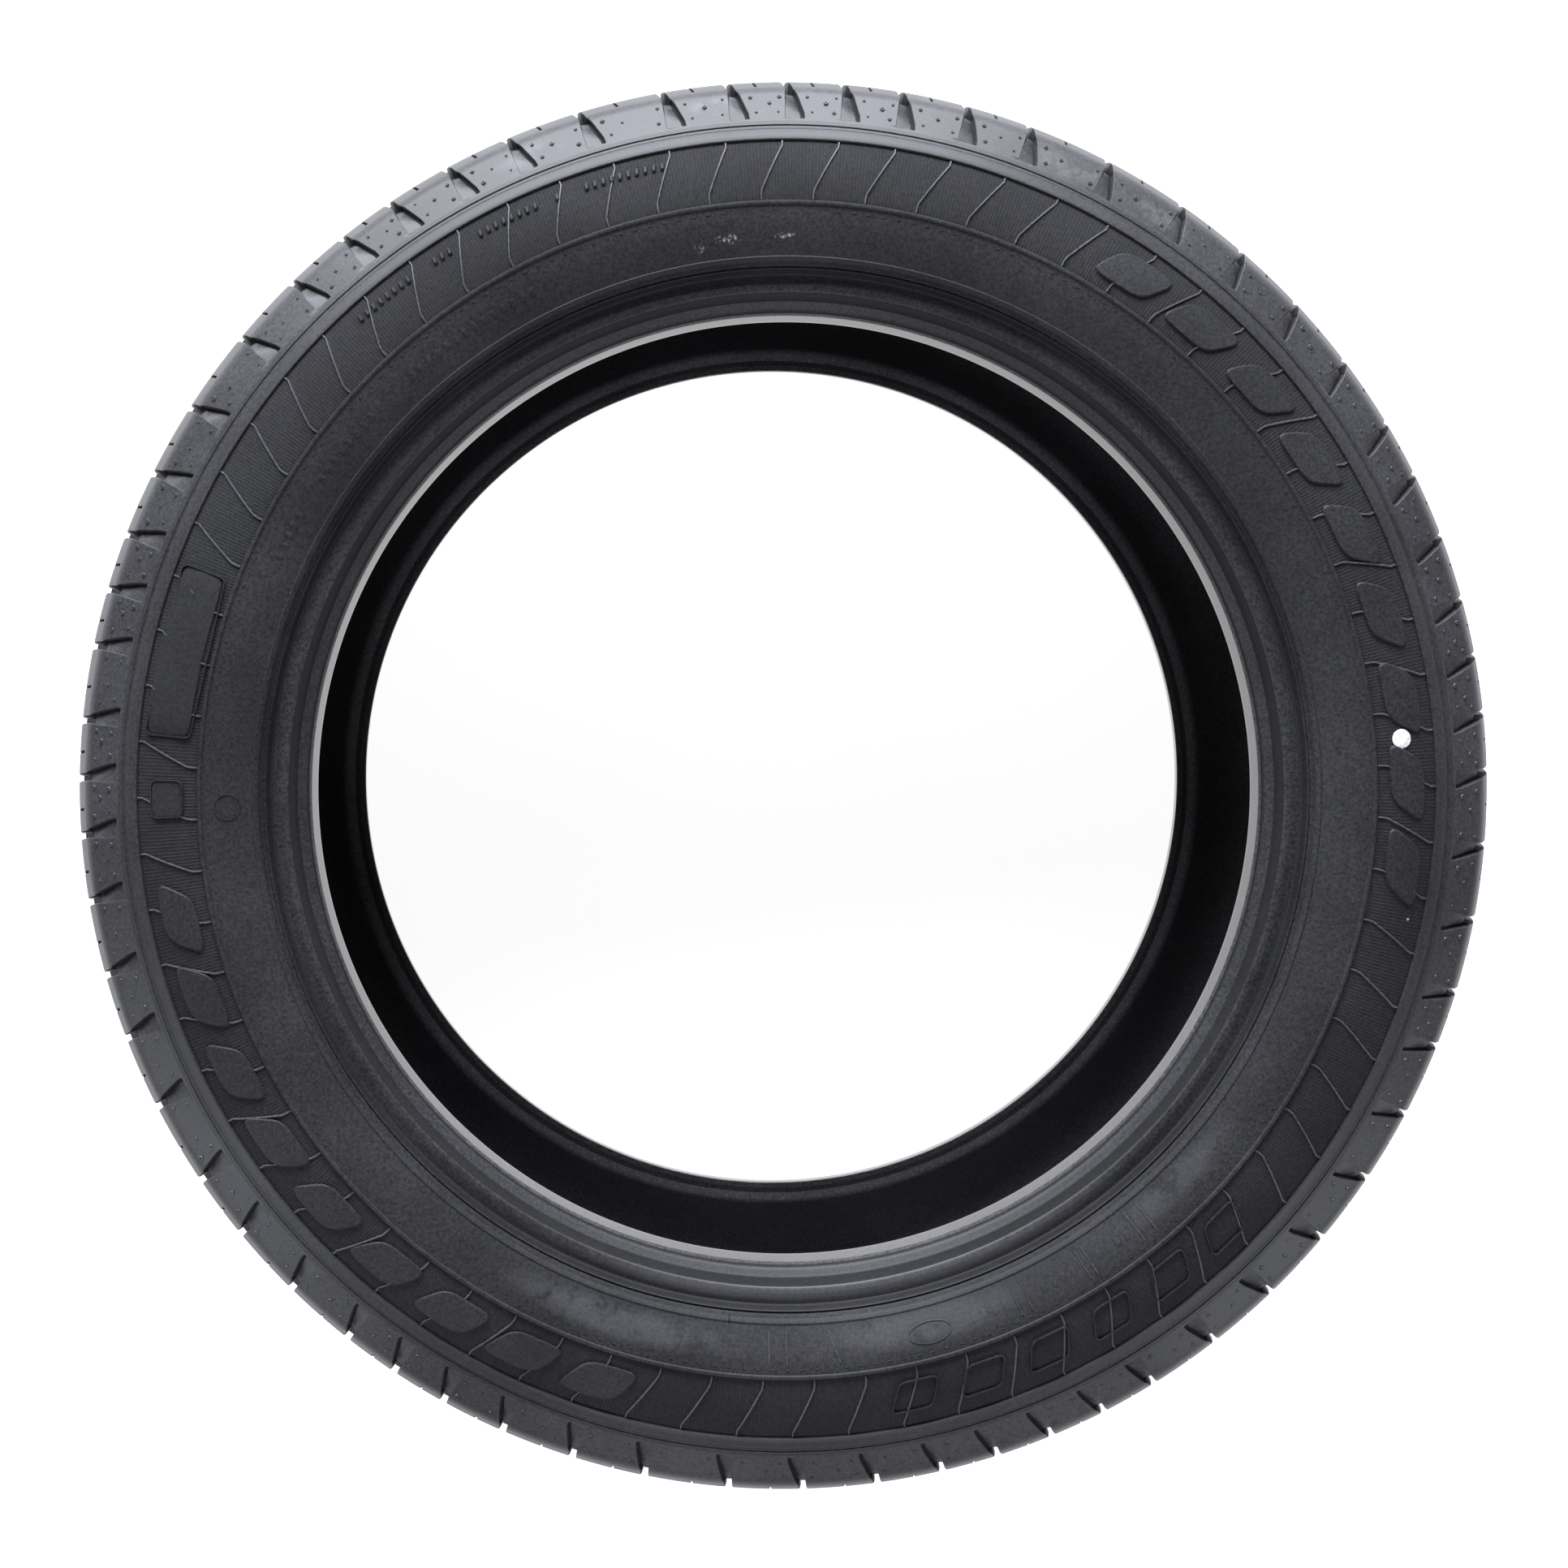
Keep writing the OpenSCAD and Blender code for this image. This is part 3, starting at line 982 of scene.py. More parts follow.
@dataclass
class StudTree:
    """A Geometry Nodes tree that plants a small round stud on each point, with a random size.

    Attributes:
        seed: picks the random sizes.
        sizes: the smallest and largest of them, as shares of the radius and height asked for.
        corners: points around a stud.
        taper: the radius of its top as a share of its foot's.
        tree: the tree itself.
    """

    seed: int = 7
    sizes: tuple[float, float] = (0.6, 1.25)
    corners: int = 10
    taper: float = 0.7
    tree: bpy.types.NodeTree = field(init=False)

    def __post_init__(self) -> None:
        """Builds the tree once, with its named inputs."""
        tree = self.tree = new_tree("studs_on_points", "Studs", {
            "Points": "Geometry", "Radius": "Float", "Height": "Float", "Seed": "Int",
            "Finish": "Material"})
        given = tree.nodes.new("NodeGroupInput")
        stud = tree.nodes.new("GeometryNodeMeshCone")
        stud.inputs["Vertices"].default_value = self.corners
        narrow = tree.nodes.new("ShaderNodeMath")
        narrow.operation = "MULTIPLY"
        narrow.inputs[1].default_value = self.taper
        up = tree.nodes.new("GeometryNodeInputNamedAttribute")
        up.data_type = "FLOAT_VECTOR"
        up.inputs["Name"].default_value = "up"
        turn = tree.nodes.new("FunctionNodeAlignRotationToVector")
        turn.axis = "Z"
        size = tree.nodes.new("FunctionNodeRandomValue")
        size.inputs[2].default_value, size.inputs[3].default_value = self.sizes
        copies = tree.nodes.new("GeometryNodeInstanceOnPoints")
        real = tree.nodes.new("GeometryNodeRealizeInstances")
        dress = tree.nodes.new("GeometryNodeSetMaterial")
        out = tree.nodes.new("NodeGroupOutput")
        for start, end in (
                (given.outputs["Radius"], stud.inputs["Radius Bottom"]),
                (given.outputs["Radius"], narrow.inputs[0]),
                (narrow.outputs[0], stud.inputs["Radius Top"]),
                (given.outputs["Height"], stud.inputs["Depth"]),
                (given.outputs["Points"], copies.inputs["Points"]),
                (stud.outputs["Mesh"], copies.inputs["Instance"]),
                (up.outputs["Attribute"], turn.inputs["Vector"]),
                (turn.outputs[0], copies.inputs["Rotation"]),
                (given.outputs["Seed"], size.inputs["Seed"]),
                (size.outputs[1], copies.inputs["Scale"]),
                (copies.outputs[0], real.inputs[0]), (real.outputs[0], dress.inputs["Geometry"]),
                (given.outputs["Finish"], dress.inputs["Material"]),
                (dress.outputs[0], out.inputs["Studs"])):
            tree.links.new(start, end)

    def plant(self, name: str, points: np.ndarray, ups: np.ndarray, radius: float, height: float,
              finish: bpy.types.Material, side: Side) -> bpy.types.Object:
        """Plants studs on points and makes them one plain mesh.

        Args:
            name: the new piece's name.
            points: where the studs stand.
            ups: the way that each one points.
            radius: their radius at the foot.
            height: their height from foot to top.
            finish: their finish.
            side: the side of the tyre that they belong to.

        Returns:
            The object that holds all the studs.
        """
        mesh = bpy.data.meshes.new(f"{name}_points")
        mesh.from_pydata(side.placed(points).tolist(), [], [])
        mesh.attributes.new("up", "FLOAT_VECTOR", "POINT").data.foreach_set(
            "vector", side.placed(ups).ravel())
        seed = bpy.data.objects.new(f"{name}_points", mesh)
        bpy.context.scene.collection.objects.link(seed)
        return grown(seed, name, self.tree, {"Radius": radius, "Height": height,
                                             "Seed": self.seed, "Finish": finish})


@dataclass
class Relief:
    """Raised marks that follow the curve of the sidewall.

    Attributes:
        root: how far a mark reaches into the rubber below it.
        rise: how far a mark in the serrated band stands above the plain sidewall.
        bevel: the bevel around a pad.
        chord: the widest step between two rings of a pad's top.
    """

    root: float = 0.4 * MM
    rise: float = 0.7 * MM
    bevel: float = 0.5 * MM
    chord: float = 2.2 * MM

    def strip(self, path: np.ndarray, width: float, rise: float, floor: Callable[[float], float],
              closed: bool = False) -> Parts:
        """Makes a raised line along a path.

        Args:
            path: the angle in radians and the radius of each of its points.
            width: its width at its foot.
            rise: its height above the floor.
            floor: the surface that it stands on, as a height at each radius.
            closed: whether the path comes back to its start.

        Returns:
            The points and faces of the line.
        """
        flat = np.stack([path[:, 0] * path[:, 1].mean(), path[:, 1]], 1)
        if closed:
            way = np.roll(flat, -1, 0) - np.roll(flat, 1, 0)
        else:
            way = np.gradient(flat, axis=0)
        way /= np.linalg.norm(way, axis=1)[:, None]
        across = np.stack([-way[:, 1] / path[:, 1].mean(), way[:, 0]], 1)
        slope = min(0.3 * width, 0.8 * rise)
        loop = ((-width / 2, -self.root), (slope - width / 2, rise), (width / 2 - slope, rise),
                (width / 2, -self.root))
        rings = []
        for offset, lift in loop:
            place = path + across * offset
            height = np.array([floor(r) for r in place[:, 1]]) + lift
            rings.append(turned(place[:, 1], height, place[:, 0]))
        points = np.stack(rings, 1).reshape(-1, 3)
        n, k = len(path), len(loop)
        faces = [[i * k + j, i * k + (j + 1) % k, (i + 1) % n * k + (j + 1) % k, (i + 1) % n * k + j]
                 for i in range(n if closed else n - 1) for j in range(k)]
        if not closed:
            faces += [list(range(k))[::-1], [(n - 1) * k + j for j in range(k)]]
        return points, faces

    def pad(self, turn: float, half_turn: float, low: float, top: float, lean: float,
            rise: float, floor: Callable[[float], float], square: float = 4.0,
            corners: int = 36) -> Parts:
        """Makes a raised slanted pad with round corners and bevelled edges.

        Args:
            turn: the angle of its middle in radians.
            half_turn: half its width, as an angle.
            low: its inner radius.
            top: its outer radius.
            lean: how far its outer end lies round from its inner one, as an angle.
            rise: its height above the floor.
            floor: the surface that it stands on, as a height at each radius.
            square: how square it is: 2 is an ellipse.
            corners: the number of points around it.

        Returns:
            The points and faces of the pad.
        """
        t = np.linspace(0, math.tau, corners, endpoint=False)
        u, v = (np.sign(x) * np.abs(x) ** (2 / square) for x in (np.cos(t), np.sin(t)))
        middle, half_h = (low + top) / 2, (top - low) / 2
        short = min(half_h, half_turn * middle)
        flat = 1 - min(self.bevel, 0.4 * short) / short
        steps = max(1, round(half_h / self.chord))
        rings = [(flat * (i + 1) / steps, rise) for i in range(steps)]
        rings += [(1.0, rise * 0.4), (1.0, -self.root)]
        ends = [turned(np.array([middle]), np.array([floor(middle) + lift]), np.array([turn]))
                for lift in (rise, -self.root)]
        points = [ends[0]]
        for share, lift in rings:
            r = middle + v * half_h * share
            points.append(turned(r, np.array([floor(x) for x in r]) + lift,
                                 turn + (u * half_turn + v * lean / 2) * share))
        after = np.roll(np.arange(corners), -1)
        last = (len(rings) - 1) * corners
        faces = [[0, 1 + j, 1 + after[j]] for j in range(corners)]
        faces += [[1 + k + j, 1 + k + corners + j, 1 + k + corners + after[j], 1 + k + after[j]]
                  for k in range(0, last, corners) for j in range(corners)]
        faces += [[1 + last + corners, 1 + last + after[j], 1 + last + j] for j in range(corners)]
        return np.vstack([*points, ends[1]]), faces


@dataclass
class Trim:
    """The raised trim of one sidewall: serrations, swept ribs, blocks and fine marks.

    Angles that lay out marks are in degrees, clockwise from the top, and heights are counted from
    the bead's heel.

    Attributes:
        section: the tyre's section.
        around: the tree that repeats a piece around the axis.
        relief: makes the marks.
        teeth, tooth_w, tooth_rise: number, width and height of the serrations.
        tooth_root, tooth_gap: how far they reach into the band, and how far short of its edges.
        tooth_points: points along a serration.
        ribs, rib_first: number of swept ribs, and the first one's angle.
        rib_w, rib_rise, rib_sweep: their width, height, and sweep in radians.
        rib_bend: where along a rib the sweep starts, and over how much of it.
        block_h: the heights of the blocks' inner and outer ends.
        pad_rows: first angle, last angle and number of the slanted pads in each row.
        pad_share, pad_lean: half a pad's width as a share of its step, and its lean.
        frames: first angle, step and number of the slanted frames.
        frame_half, frame_lean: half a frame's width and its lean.
        outline_w, outline_corner: the width of an outline and the radius of its corners.
        tick_rows, tick_step, tick_h: first and last angle, step and heights of the close ticks.
        line_w, line_rise, line_h: width, height and ends of the fine lines.
        lines: the angle and slant of each of them.
        mark_h: the height of the row of small marks and ovals, in millimetres.
        mark_half: half the height of a mark, in millimetres.
        mark_rows, mark_step: first and last angle of each stretch of it, and its step.
        ovals: the angle, half width and half height of each oval, in millimetres.
        dash_count, dash_arc: number of the dashes inside the band, and the arc that they fill.
        dash_in, dash_half: how far inside the band they lie, and half their length and width.
        vents: distance around from the slot and radius of each vent, in millimetres.
        vent_sizes: the radius and height of a vent's stud and of the dark cone that pokes through its top,
            painted shade that stands in for the hollow in the stud.
        dot_at: the radius of the paint mark's middle, and its angle in radians.
        dot_rings: each of its rings' radius and height above the band, in millimetres.
        dot_corners: the points around it.
        studs: the tree that plants the vents.
    """

    section: Section
    around: AroundTree
    relief: Relief
    teeth: int = 1152
    tooth_w: float = 0.8 * MM
    tooth_rise: float = 0.22 * MM
    tooth_root: float = 0.1 * MM
    tooth_gap: tuple[float, float] = (0.3 * MM, 0.4 * MM)
    tooth_points: int = 6
    ribs: int = 72
    rib_first: float = -0.5
    rib_w: float = 1.2 * MM
    rib_rise: float = 0.85 * MM
    line_w: float = 0.8 * MM
    line_rise: float = 0.5 * MM
    rib_sweep: float = math.radians(2.1)
    rib_bend: tuple[float, float] = (0.08, 0.78)
    block_h: tuple[float, float] = (54 * MM, 72 * MM)
    pad_rows: tuple[tuple[float, float, int], ...] = ((29.8, 100.8, 9), (194.0, 262.0, 9))
    pad_share: float = 0.36
    pad_lean: float = 2.2
    frames: tuple[float, float, int] = (135.0, 6.6, 6)
    frame_half: float = 1.9
    frame_lean: float = 1.2
    outline_w: float = 1.1 * MM
    outline_corner: float = 3 * MM
    tick_rows: tuple[tuple[float, float], ...] = ((318, 323.5), (326.4, 328.6), (331.2, 337),
                                                  (338.8, 339.4), (341.6, 349))
    tick_step: float = 0.78
    tick_h: tuple[float, float] = (68.8 * MM, 72.6 * MM)
    line_h: tuple[float, float] = (26 * MM, 41 * MM)
    lines: tuple[tuple[float, float], ...] = ((139.8, 0), (141.4, 0), (147.2, 0), (148.0, 0),
                                              (154.6, 0), (155.8, 0), (175.2, 1.0), (180.1, 0.1),
                                              (181.9, 0.1))
    mark_h: float = 34.0
    mark_half: float = 2.2
    mark_rows: tuple[tuple[float, float], ...] = ((142.6, 146.4), (149.2, 153.6), (157.0, 161.6),
                                                  (295.0, 300.0), (304.0, 313.0), (318.0, 333.0))
    mark_step: float = 1.15
    ovals: tuple[tuple[float, float, float], ...] = ((165.2, 10.5, 5.0), (268.5, 6.0, 6.0))
    dash_count: int = 240
    dash_arc: tuple[float, float] = (5.0, 350.0)
    dash_in: float = 5 * MM
    dash_half: tuple[float, float] = (1.1 * MM, 0.35 * MM)
    vents: tuple[tuple[float, float], ...] = ((-4.8, 332.5), (8.6, 332.5), (-5.4, 324.4),
                                              (10.8, 324.4), (17.5, 329.2))
    # The second size is a dark cone a little taller than the stud: painted shade of the hollow in it.
    vent_sizes: tuple[tuple[float, float], ...] = ((1.0 * MM, 0.7 * MM), (0.62 * MM, 0.8 * MM))
    dot_at: tuple[float, float] = (292 * MM, math.radians(85))
    dot_rings: tuple[tuple[float, float], ...] = ((2.4, 1.05), (4.2, 1.0), (4.6, 0.8), (4.6, 0.2))
    dot_corners: int = 40
    studs: StudTree = field(default_factory=StudTree)

    @property
    def block_r(self) -> tuple[float, float]:
        """Inner and outer radius of the blocks in the serrated band."""
        return self.section.seat_r + self.block_h[0], self.section.seat_r + self.block_h[1]

    def serrations(self, side: Side, finish: bpy.types.Material) -> bpy.types.Object:
        """Makes the fine radial teeth of the serrated band.

        Args:
            side: which sidewall.
            finish: their finish.

        Returns:
            The object that holds them.
        """
        low, top = self.section.band
        radii = np.linspace(low + self.tooth_gap[0], top - self.tooth_gap[1], self.tooth_points)
        heights = np.array([self.section.band_z(r) for r in radii])
        half, root = self.tooth_w / 2, -self.tooth_root
        lines = [turned(radii, heights + lift, offset / radii)
                 for offset, lift in ((-half, root), (0.0, self.tooth_rise), (half, root))]
        points = np.stack(lines, 1).reshape(-1, 3)
        last = len(points) - 3
        faces = [[i + j, i + (j + 1) % 3, i + 3 + (j + 1) % 3, i + 3 + j]
                 for i in range(0, last, 3) for j in range(3)]
        faces += [[2, 1, 0], [last, last + 1, last + 2]]
        return self.around.spread(f"serrations_{side.value}", (points, faces), self.teeth, 0.0,
                                  math.tau / self.teeth, finish, side)

    def swept_ribs(self, side: Side, finish: bpy.types.Material) -> bpy.types.Object:
        """Makes the swept ribs across the serrated band.

        Args:
            side: which sidewall.
            finish: their finish.

        Returns:
            The object that holds them.
        """
        low, top = self.section.band
        share = np.linspace(0, 1, 13)
        start, length = self.rib_bend
        path = np.stack([-self.rib_sweep * np.clip((share - start) / length, 0, 1),
                         top - (top - low) * share], 1)
        shape = self.relief.strip(path, self.rib_w, self.rib_rise, self.section.band_z)
        return self.around.spread(f"swept_ribs_{side.value}", shape, self.ribs,
                                  math.radians(self.rib_first), math.tau / self.ribs, finish, side)

    def blocks(self, side: Side, finish: bpy.types.Material) -> bpy.types.Object:
        """Makes the rows of slanted blocks, frames and rings of the serrated band.

        Args:
            side: which sidewall.
            finish: their finish.

        Returns:
            The object that holds them.
        """
        s, relief = self.section, self.relief
        low, top = self.block_r
        rise = relief.rise + s.band_depth
        parts: list[Parts] = []
        for first, last, count in self.pad_rows:
            step = (last - first) / count
            for i in range(count):
                parts.append(relief.pad(math.radians(first + (i + 0.5) * step),
                                        math.radians(step * self.pad_share), low, top,
                                        math.radians(self.pad_lean), rise, s.band_z))
        start, step, count = self.frames
        for i in range(count):
            parts.append(self.outlined(math.radians(start + i * step),
                                       math.radians(self.frame_half), low + 1 * MM, top - 2 * MM,
                                       math.radians(self.frame_lean), rise))
        parts += [self.outlined(*place, rise) for place in self.panels()]
        for first, last in self.tick_rows:
            for angle in np.arange(first, last, self.tick_step):
                parts.append(relief.pad(math.radians(angle), math.radians(0.2),
                                        s.seat_r + self.tick_h[0], s.seat_r + self.tick_h[1],
                                        math.radians(0.1), rise, s.band_z, square=6.0, corners=12))
        return finish_mesh(f"blocks_{side.value}", *merged(parts), [finish], side)

    def panels(self) -> list[tuple[float, float, float, float, float]]:
        """The places of the two plain panels: middle, half width, inner and outer radius, lean.

        Returns:
            One place for each panel.
        """
        low, top = self.block_r
        return [(math.radians(283), math.radians(7.8), low - 1.5 * MM, top + 3 * MM, 0.0),
                (math.radians(269.4), math.radians(1.7), low + 1.5 * MM, top - 1 * MM, 0.0)]

    def fields(self, side: Side, finish: bpy.types.Material) -> bpy.types.Object:
        """Makes the plain fields of the two panels, just above the swept ribs.

        Args:
            side: which sidewall.
            finish: their finish.

        Returns:
            The object that holds them.
        """
        rise = self.rib_rise + 0.05 * MM
        parts = [self.relief.pad(*place, rise, self.section.band_z, square=8.0)
                 for place in self.panels()]
        return finish_mesh(f"fields_{side.value}", *merged(parts), [finish], side)

    def outlined(self, turn: float, half_turn: float, low: float, top: float, lean: float,
                 rise: float) -> Parts:
        """Makes a raised frame with round corners on the serrated band.

        Args:
            turn: the angle of its middle in radians.
            half_turn: half its width, as an angle.
            low: its inner radius.
            top: its outer radius.
            lean: how far its outer end lies round from its inner one, as an angle.
            rise: its height above the band.

        Returns:
            The points and faces of the frame.
        """
        middle = (low + top) / 2
        half_w, half_h = half_turn * middle, (top - low) / 2
        corner = min(self.outline_corner, half_w * 0.6, half_h * 0.6)
        path = []
        for quarter, (x, y) in enumerate(((1, 1), (-1, 1), (-1, -1), (1, -1))):
            for t in np.linspace(0, math.pi / 2, 5) + quarter * math.pi / 2:
                px = x * (half_w - corner) + corner * math.cos(t)
                py = y * (half_h - corner) + corner * math.sin(t)
                path.append((turn + px / middle + lean * py / (2 * half_h), middle + py))
        return self.relief.strip(np.array(path), self.outline_w, rise, self.section.band_z,
                                 closed=True)

    def fine_lines(self, side: Side, finish: bpy.types.Material) -> bpy.types.Object:
        """Makes the thin raised lines across the smooth lower sidewall.

        Args:
            side: which sidewall.
            finish: their finish.

        Returns:
            The object that holds them.
        """
        s = self.section
        low, top = s.seat_r + self.line_h[0], s.seat_r + self.line_h[1]
        parts: list[Parts] = []
        for angle, slant in self.lines:
            turns = np.radians(angle + slant * np.linspace(0.5, -0.5, 5))
            path = np.stack([turns, np.linspace(low, top, 5)], 1)
            parts.append(self.relief.strip(path, self.line_w, self.line_rise, s.side_z))
        return finish_mesh(f"fine_lines_{side.value}", *merged(parts), [finish], side)

    def fine_marks(self, side: Side, finish: bpy.types.Material) -> bpy.types.Object:
        """Makes the small marks of the smooth lower sidewall.

        Args:
            side: which sidewall.
            finish: their finish.

        Returns:
            The object that holds them.
        """
        s, relief = self.section, self.relief
        parts: list[Parts] = []
        low = s.seat_r + (self.mark_h - self.mark_half) * MM
        top = s.seat_r + (self.mark_h + self.mark_half) * MM
        for first, last in self.mark_rows:
            for angle in np.arange(first, last, self.mark_step):
                parts.append(relief.pad(math.radians(angle), math.radians(0.3), low, top, 0.0,
                                        0.3 * MM, s.side_z, square=6.0, corners=12))
        for turn, half_w, half_h in self.ovals:
            t = np.linspace(0, math.tau, 24, endpoint=False)
            r = s.seat_r + (self.mark_h + 0.4) * MM + half_h * MM * np.sin(t)
            path = np.stack([math.radians(turn) + half_w * MM * np.cos(t) / r, r], 1)
            parts.append(relief.strip(path, 0.9 * MM, 0.4 * MM, s.side_z, closed=True))
        return finish_mesh(f"fine_marks_{side.value}", *merged(parts), [finish], side)

    def vent_studs(self, side: Side, pitch: Pitch, finishes: Finishes) -> list[bpy.types.Object]:
        """Makes the cut vent studs on the blocks of one shoulder, and the dark cones through their tops,
        painted shade of the pits in them.

        Args:
            side: which shoulder.
            pitch: the pitch of the tread.
            finishes: the studs' finish and the dark grey of the painted shade in them.

        Returns:
            The object that holds the studs, and the one that holds the painted shade in them.
        """
        points, ups = self.on_blocks(pitch, np.array(self.vents) * MM)
        # The dark cones stand on the same points as the studs and poke through their tops: painted shade.
        return [self.studs.plant(f"{name}_{side.value}", points, ups, *size, finish, side)
                for name, size, finish in zip(("vent_studs", "vent_pits"), self.vent_sizes, finishes)]

    def on_blocks(self, pitch: Pitch, places: np.ndarray) -> tuple[np.ndarray, np.ndarray]:
        """Finds the same few places on the wall of every block of a shoulder.

        Args:
            pitch: the pitch of the tread.
            places: distance around from the slot and radius of each place.

        Returns:
            The points, and the way out of the wall at each.
        """
        s = self.section
        foot = s.raised(s.tread_foot)
        edge = (s.tread_r(s.half_tread), s.half_tread)
        slope = (edge[1] - foot[1]) / (edge[0] - foot[0])
        around, across = places.T
        angles = (pitch.angles()[:, None] + (around / across)[None, :]).ravel()
        radii = np.tile(across, pitch.count)
        lean = math.atan(slope)
        ups = turned(np.full(len(angles), -math.sin(lean)), np.full(len(angles), math.cos(lean)),
                     angles)
        points = turned(radii, foot[1] + slope * (radii - foot[0]), angles)
        return points + ups * 0.1 * MM, ups

    def dashes(self, side: Side, finish: bpy.types.Material) -> bpy.types.Object:
        """Makes the row of fine dashes inside the serrated band.

        Args:
            side: which sidewall.
            finish: their finish.

        Returns:
            The object that holds them.
        """
        r = self.section.band[0] - self.dash_in
        half_l, half_w = self.dash_half
        shape = self.relief.pad(0.0, half_l / r, r - half_w, r + half_w, 0.0, 0.25 * MM,
                                self.section.side_z, square=6.0, corners=8)
        first, arc = np.radians(self.dash_arc).tolist()
        return self.around.spread(f"dashes_{side.value}", shape, self.dash_count, first,
                                  arc / self.dash_count, finish, side)

    def paint_dot(self, finishes: Finishes) -> bpy.types.Object:
        """Makes the round white paint mark on the front sidewall.

        Args:
            finishes: its finish.

        Returns:
            The mark's object.
        """
        s, n = self.section, self.dot_corners
        middle, turn = self.dot_at
        top, foot = (turned(np.array([middle]), np.array([s.band_z(middle) + lift * MM]),
                            np.array([turn])) for lift in (self.dot_rings[0][1], self.dot_rings[-1][1]))
        t = np.linspace(0, math.tau, n, endpoint=False)
        rings = []
        for radius, lift in self.dot_rings:
            r = middle + radius * MM * np.sin(t)
            rings.append(turned(r, np.array([s.band_z(x) for x in r]) + lift * MM,
                                turn + radius * MM * np.cos(t) / middle))
        points = np.vstack([top, *rings, foot])
        after = np.roll(np.arange(n), -1)
        last = 1 + (len(rings) - 1) * n
        faces = [[0, 1 + j, 1 + after[j]] for j in range(n)]
        faces += [[k + j, k + n + j, k + n + after[j], k + after[j]]
                  for k in range(1, last, n) for j in range(n)]
        faces += [[len(points) - 1, last + after[j], last + j] for j in range(n)]
        return finish_mesh("paint_dot", points, faces, finishes)


@dataclass
class Wiring:
    """Lays out the nodes of one material, each fed by numbers or by earlier sockets."""

    name: str
    material: bpy.types.Material = field(init=False)

    def __post_init__(self) -> None:
        """Makes the material with its plain shader."""
        self.material = bpy.data.materials.new(self.name)
        self.material.use_nodes = True

    def feed(self, node: bpy.types.Node, values: dict) -> None:
        """Sets or links a node's inputs, by their names or numbers.

        Args:
            node: the node.
            values: what each of its inputs is fed.
        """
        for key, value in values.items():
            if isinstance(value, bpy.types.NodeSocket):
                self.material.node_tree.links.new(value, node.inputs[key])
            else:
                node.inputs[key].default_value = value

    def node(self, kind: str, values: dict, **settings: str | bool) -> bpy.types.Node:
        """Adds a node with its settings and inputs.

        Args:
            kind: Blender's name for its kind.
            values: what each of its inputs is fed.
            settings: its own properties.

        Returns:
            The node.
        """
        node = self.material.node_tree.nodes.new(kind)
        for key, value in settings.items():
            setattr(node, key, value)
        self.feed(node, values)
        return node

    def maths(self, operation: str, *values: float | bpy.types.NodeSocket) -> bpy.types.NodeSocket:
        """Works out one sum."""
        return self.node("ShaderNodeMath", dict(enumerate(values)), operation=operation).outputs[0]

    def place(self) -> bpy.types.NodeSocket:
        """The point that is shaded, in the tyre's own frame."""
        return self.node("ShaderNodeTexCoord", {}).outputs["Object"]

    def noise(self, scale: float, detail: float = 3.0, rough: float = 0.5) -> bpy.types.NodeSocket:
        """A cloudy pattern from 0 to 1, with so many features to the metre."""
        return self.node("ShaderNodeTexNoise", {"Vector": self.place(), "Scale": scale,
                                                "Detail": detail, "Roughness": rough}).outputs[0]

    def ramp(self, value: bpy.types.NodeSocket, low: float, high: float, to_low: float = 0.0,
             to_high: float = 1.0) -> bpy.types.NodeSocket:
        """Carries one range of values smoothly over to another."""
        return self.node("ShaderNodeMapRange", {0: value, 1: low, 2: high, 3: to_low, 4: to_high},
                         interpolation_type="SMOOTHSTEP").outputs[0]

    def dress(self, values: dict) -> None:
        """Sets or links inputs of the shader."""
        self.feed(self.material.node_tree.nodes["Principled BSDF"], values)


@dataclass(frozen=True)
class Patch:
    """A patch of dust, scuffing or painted light on a side.

    Attributes:
        angle: the angle of its middle in degrees, clockwise from the top.
        r: the radius of its middle.
        around: half its length around the tyre.
        across: half its width across the side.
        tone: the grey that it adds where it is thickest.
        streaks: how many of its streaks fit in a metre.
        cover: the share of the streaks that shows.
    """

    angle: float
    r: float
    around: float
    across: float
    tone: float
    streaks: float = 300.0
    cover: float = 0.5

    def wire(self, wiring: Wiring, angle: bpy.types.NodeSocket,
             radius: bpy.types.NodeSocket) -> bpy.types.NodeSocket:
        """Adds the patch's nodes to a material.

        Args:
            wiring: the material's wiring.
            angle: the angle of the shaded point in radians.
            radius: its radius.

        Returns:
            The grey that the patch adds.
        """
        gap = wiring.maths("WRAP", wiring.maths("SUBTRACT", angle, math.radians(self.angle)),
                           math.pi, -math.pi)
        along = wiring.maths("MULTIPLY", gap, self.r / self.around)
        over = wiring.maths("DIVIDE", wiring.maths("SUBTRACT", radius, self.r), self.across)
        far = wiring.maths("SQRT", wiring.maths("ADD", wiring.maths("MULTIPLY", along, along),
                                                wiring.maths("MULTIPLY", over, over)))
        edge = wiring.ramp(far, 0.35, 1.0, 1.0, 0.0)
        middle = 0.5 + (0.5 - self.cover) * 0.5
        streaks = wiring.ramp(wiring.noise(self.streaks, 5.0, 0.65), middle - 0.04, middle + 0.12)
        return wiring.maths("MULTIPLY", wiring.maths("MULTIPLY", edge, streaks), self.tone)


